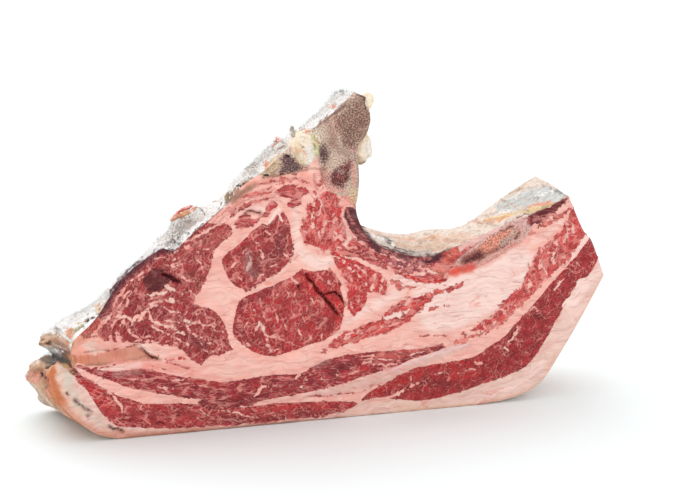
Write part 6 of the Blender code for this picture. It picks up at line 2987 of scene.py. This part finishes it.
GROWTHS = (
    Hairs(
        "white_mould_hairs",
        Fuzz("white_fuzz", Tone.CRUST, Tone.PALE_CRUST),
        (
            *marks(Act.MOULD, Tone.CRUST, 6, 0.8, (-190, 80, -180, 86, -168, 93, -156, 101)),
            *marks(Act.MOULD, Tone.CRUST, 5, 0.2, (-145, 112, -132, 121, -120, 129)),
            *marks(
                Act.MOULD, Tone.CRUST, 7, 0.4, (-112, 138, -96, 150), (-60, 178, -40, 194),
                (-25, 206, 0, 224),
            ),
        ),
        0.9, 71, 4.6,
    ),
    Hairs(
        "grey_mould_hairs",
        Fuzz("grey_fuzz", Tone.ASH, Tone.SLATE),
        (
            *marks(Act.MOULD, Tone.CRUST, 5, 0.9, (-182, 57, -188, 60, -193, 60)),
            *marks(
                Act.MOULD, Tone.CRUST, 5, 0.35, (-20, 210, -8, 221, 4, 226), (-56, 180, -46, 190),
            ),
            *marks(Act.MOULD, Tone.CRUST, 6, 0.2, (-116, 133, -104, 142)),
        ),
        0.9, 72, 4.0, 0.1, 1.1,
    ),
    Crumbs(
        "crust_crumbs",
        Grit("crumb_face"),
        (
            *marks(Act.MOULD, Tone.CRUST, 9, 1, (-114, 135, -104, 143, -94, 151)),
            *marks(
                Act.MOULD, Tone.CRUST, 6, 0.22, (-88, 155, -70, 166), (-64, 172, -44, 190),
                (-24, 204, 4, 224),
            ),
            *marks(Act.MOULD, Tone.CRUST, 5, 0.2, (-182, 78, -160, 92)),
        ),
        0.45, 73, 0.3, 1.15,
    ),
)


# ------------ studio


@dataclass(frozen=True)
class Studio:
    """The floor, the light and the camera, in metres and degrees."""

    camera_at: Place = (-0.23429, -0.96477, 0.39259)
    camera_turn: Place = (74.1, 0.0, -14.1)
    lens: float = 80.0
    sensor: float = 36.0
    far_end: float = 100.0
    floor_reach: float = 6.0
    floor_paints: tuple[tuple[float, ...], ...] = (
        (0.84, 0.91, 0.915, 1.0),
        (0.845, 0.915, 0.92, 1.0),
    )
    sky: tuple[float, ...] = (1.0, 0.976, 0.976, 1.0)
    sky_strength: float = 1.03
    lamp_toward: Place = (0.3, -0.42, -1.0)
    lamp_strength: float = 0.95
    lamp_angle: float = 60.0

    def build(self, shift: float) -> None:
        """Make everything.

        Args:
            shift: How far the part's x is past the drawing's, in millimetres.
        """
        self.make_camera(shift)
        self.make_floor()
        self.make_light()

    def make_camera(self, shift: float) -> None:
        """Put the camera at the photograph's angle.

        Args:
            shift: How far the part's x is past the drawing's, in millimetres.
        """
        data = bpy.data.cameras.new("view")
        data.lens = self.lens
        data.sensor_width = self.sensor
        data.sensor_fit = "HORIZONTAL"
        data.clip_end = self.far_end
        camera = linked("view", data)
        camera.location = Vector(self.camera_at) + Vector((shift * MM, 0.0, 0.0))
        camera.rotation_euler = Euler([math.radians(turn) for turn in self.camera_turn])
        bpy.context.scene.camera = camera

    def make_floor(self) -> None:
        """Make the pale floor."""
        tree = Tree("pale_floor")
        paint = tree.mix(tree.clouds(tree.place(), 400.0), *self.floor_paints)
        roughness = tree.clouds(tree.place(), 90.0) * 0.1 + 0.8
        material = tree.finish(paint, roughness, 0.0, 0.1)
        reach = self.floor_reach / MM
        corners = ((-reach, -reach, 0), (reach, -reach, 0), (reach, reach, 0), (-reach, reach, 0))
        make_object("floor", np.array(corners), [(0, 1, 2, 3)], [material])

    def make_light(self) -> None:
        """Light it softly from all round, and more from above and a little behind."""
        world = bpy.data.worlds.new("soft_box")
        world.use_nodes = True
        background = world.node_tree.nodes["Background"]
        background.inputs["Color"].default_value = self.sky
        background.inputs["Strength"].default_value = self.sky_strength
        bpy.context.scene.world = world
        data = bpy.data.lights.new("soft_lamp", "SUN")
        data.energy = self.lamp_strength
        data.angle = math.radians(self.lamp_angle)
        lamp = linked("soft_lamp", data)
        lamp.rotation_euler = Vector(self.lamp_toward).to_track_quat("-Z", "Y").to_euler()
        bpy.context.scene.view_settings.view_transform = "Standard"


FINISHES: dict[str, bpy.types.Material] = {}


def make_finishes() -> None:
    """Make each finish of the cut faces and of the sides once."""
    for cut in CUTS:
        name = f"{cut.node}_face"
        finish = Tissue(name, cut.stretch, cut.marbling, cut.bundle)
        if cut.kind is Kind.BONE:
            finish = SawnBone(name, cut.rag, cut.marbling, cut.specks)
        FINISHES[cut.node] = finish.material()
    for side in SIDES:
        FINISHES[side.name] = side.finish.material()


def main() -> None:
    """Build every piece in order."""
    logging.basicConfig(level=logging.INFO, format="%(name)s: %(message)s")
    cut_slice = Slice()
    Studio().build(cut_slice.shift())
    make_finishes()
    plan = Plan(cut_slice)
    ground = Ground()
    for cut in CUTS:
        piece = CutPiece(plan, cut)
        publish(piece.build(), cut.kind.value, cut.node)
        ground.gather(piece)
    for nub in NUBS:
        publish(nub.build(cut_slice), nub.slot, nub.node)
    publish(Scraps(cut_slice).build(), Kind.FAT.value)
    for growth in GROWTHS:
        publish(growth.build(ground), Kind.FAT.value)
    bpy.context.view_layer.update()


if __name__ == "__main__":
    main()
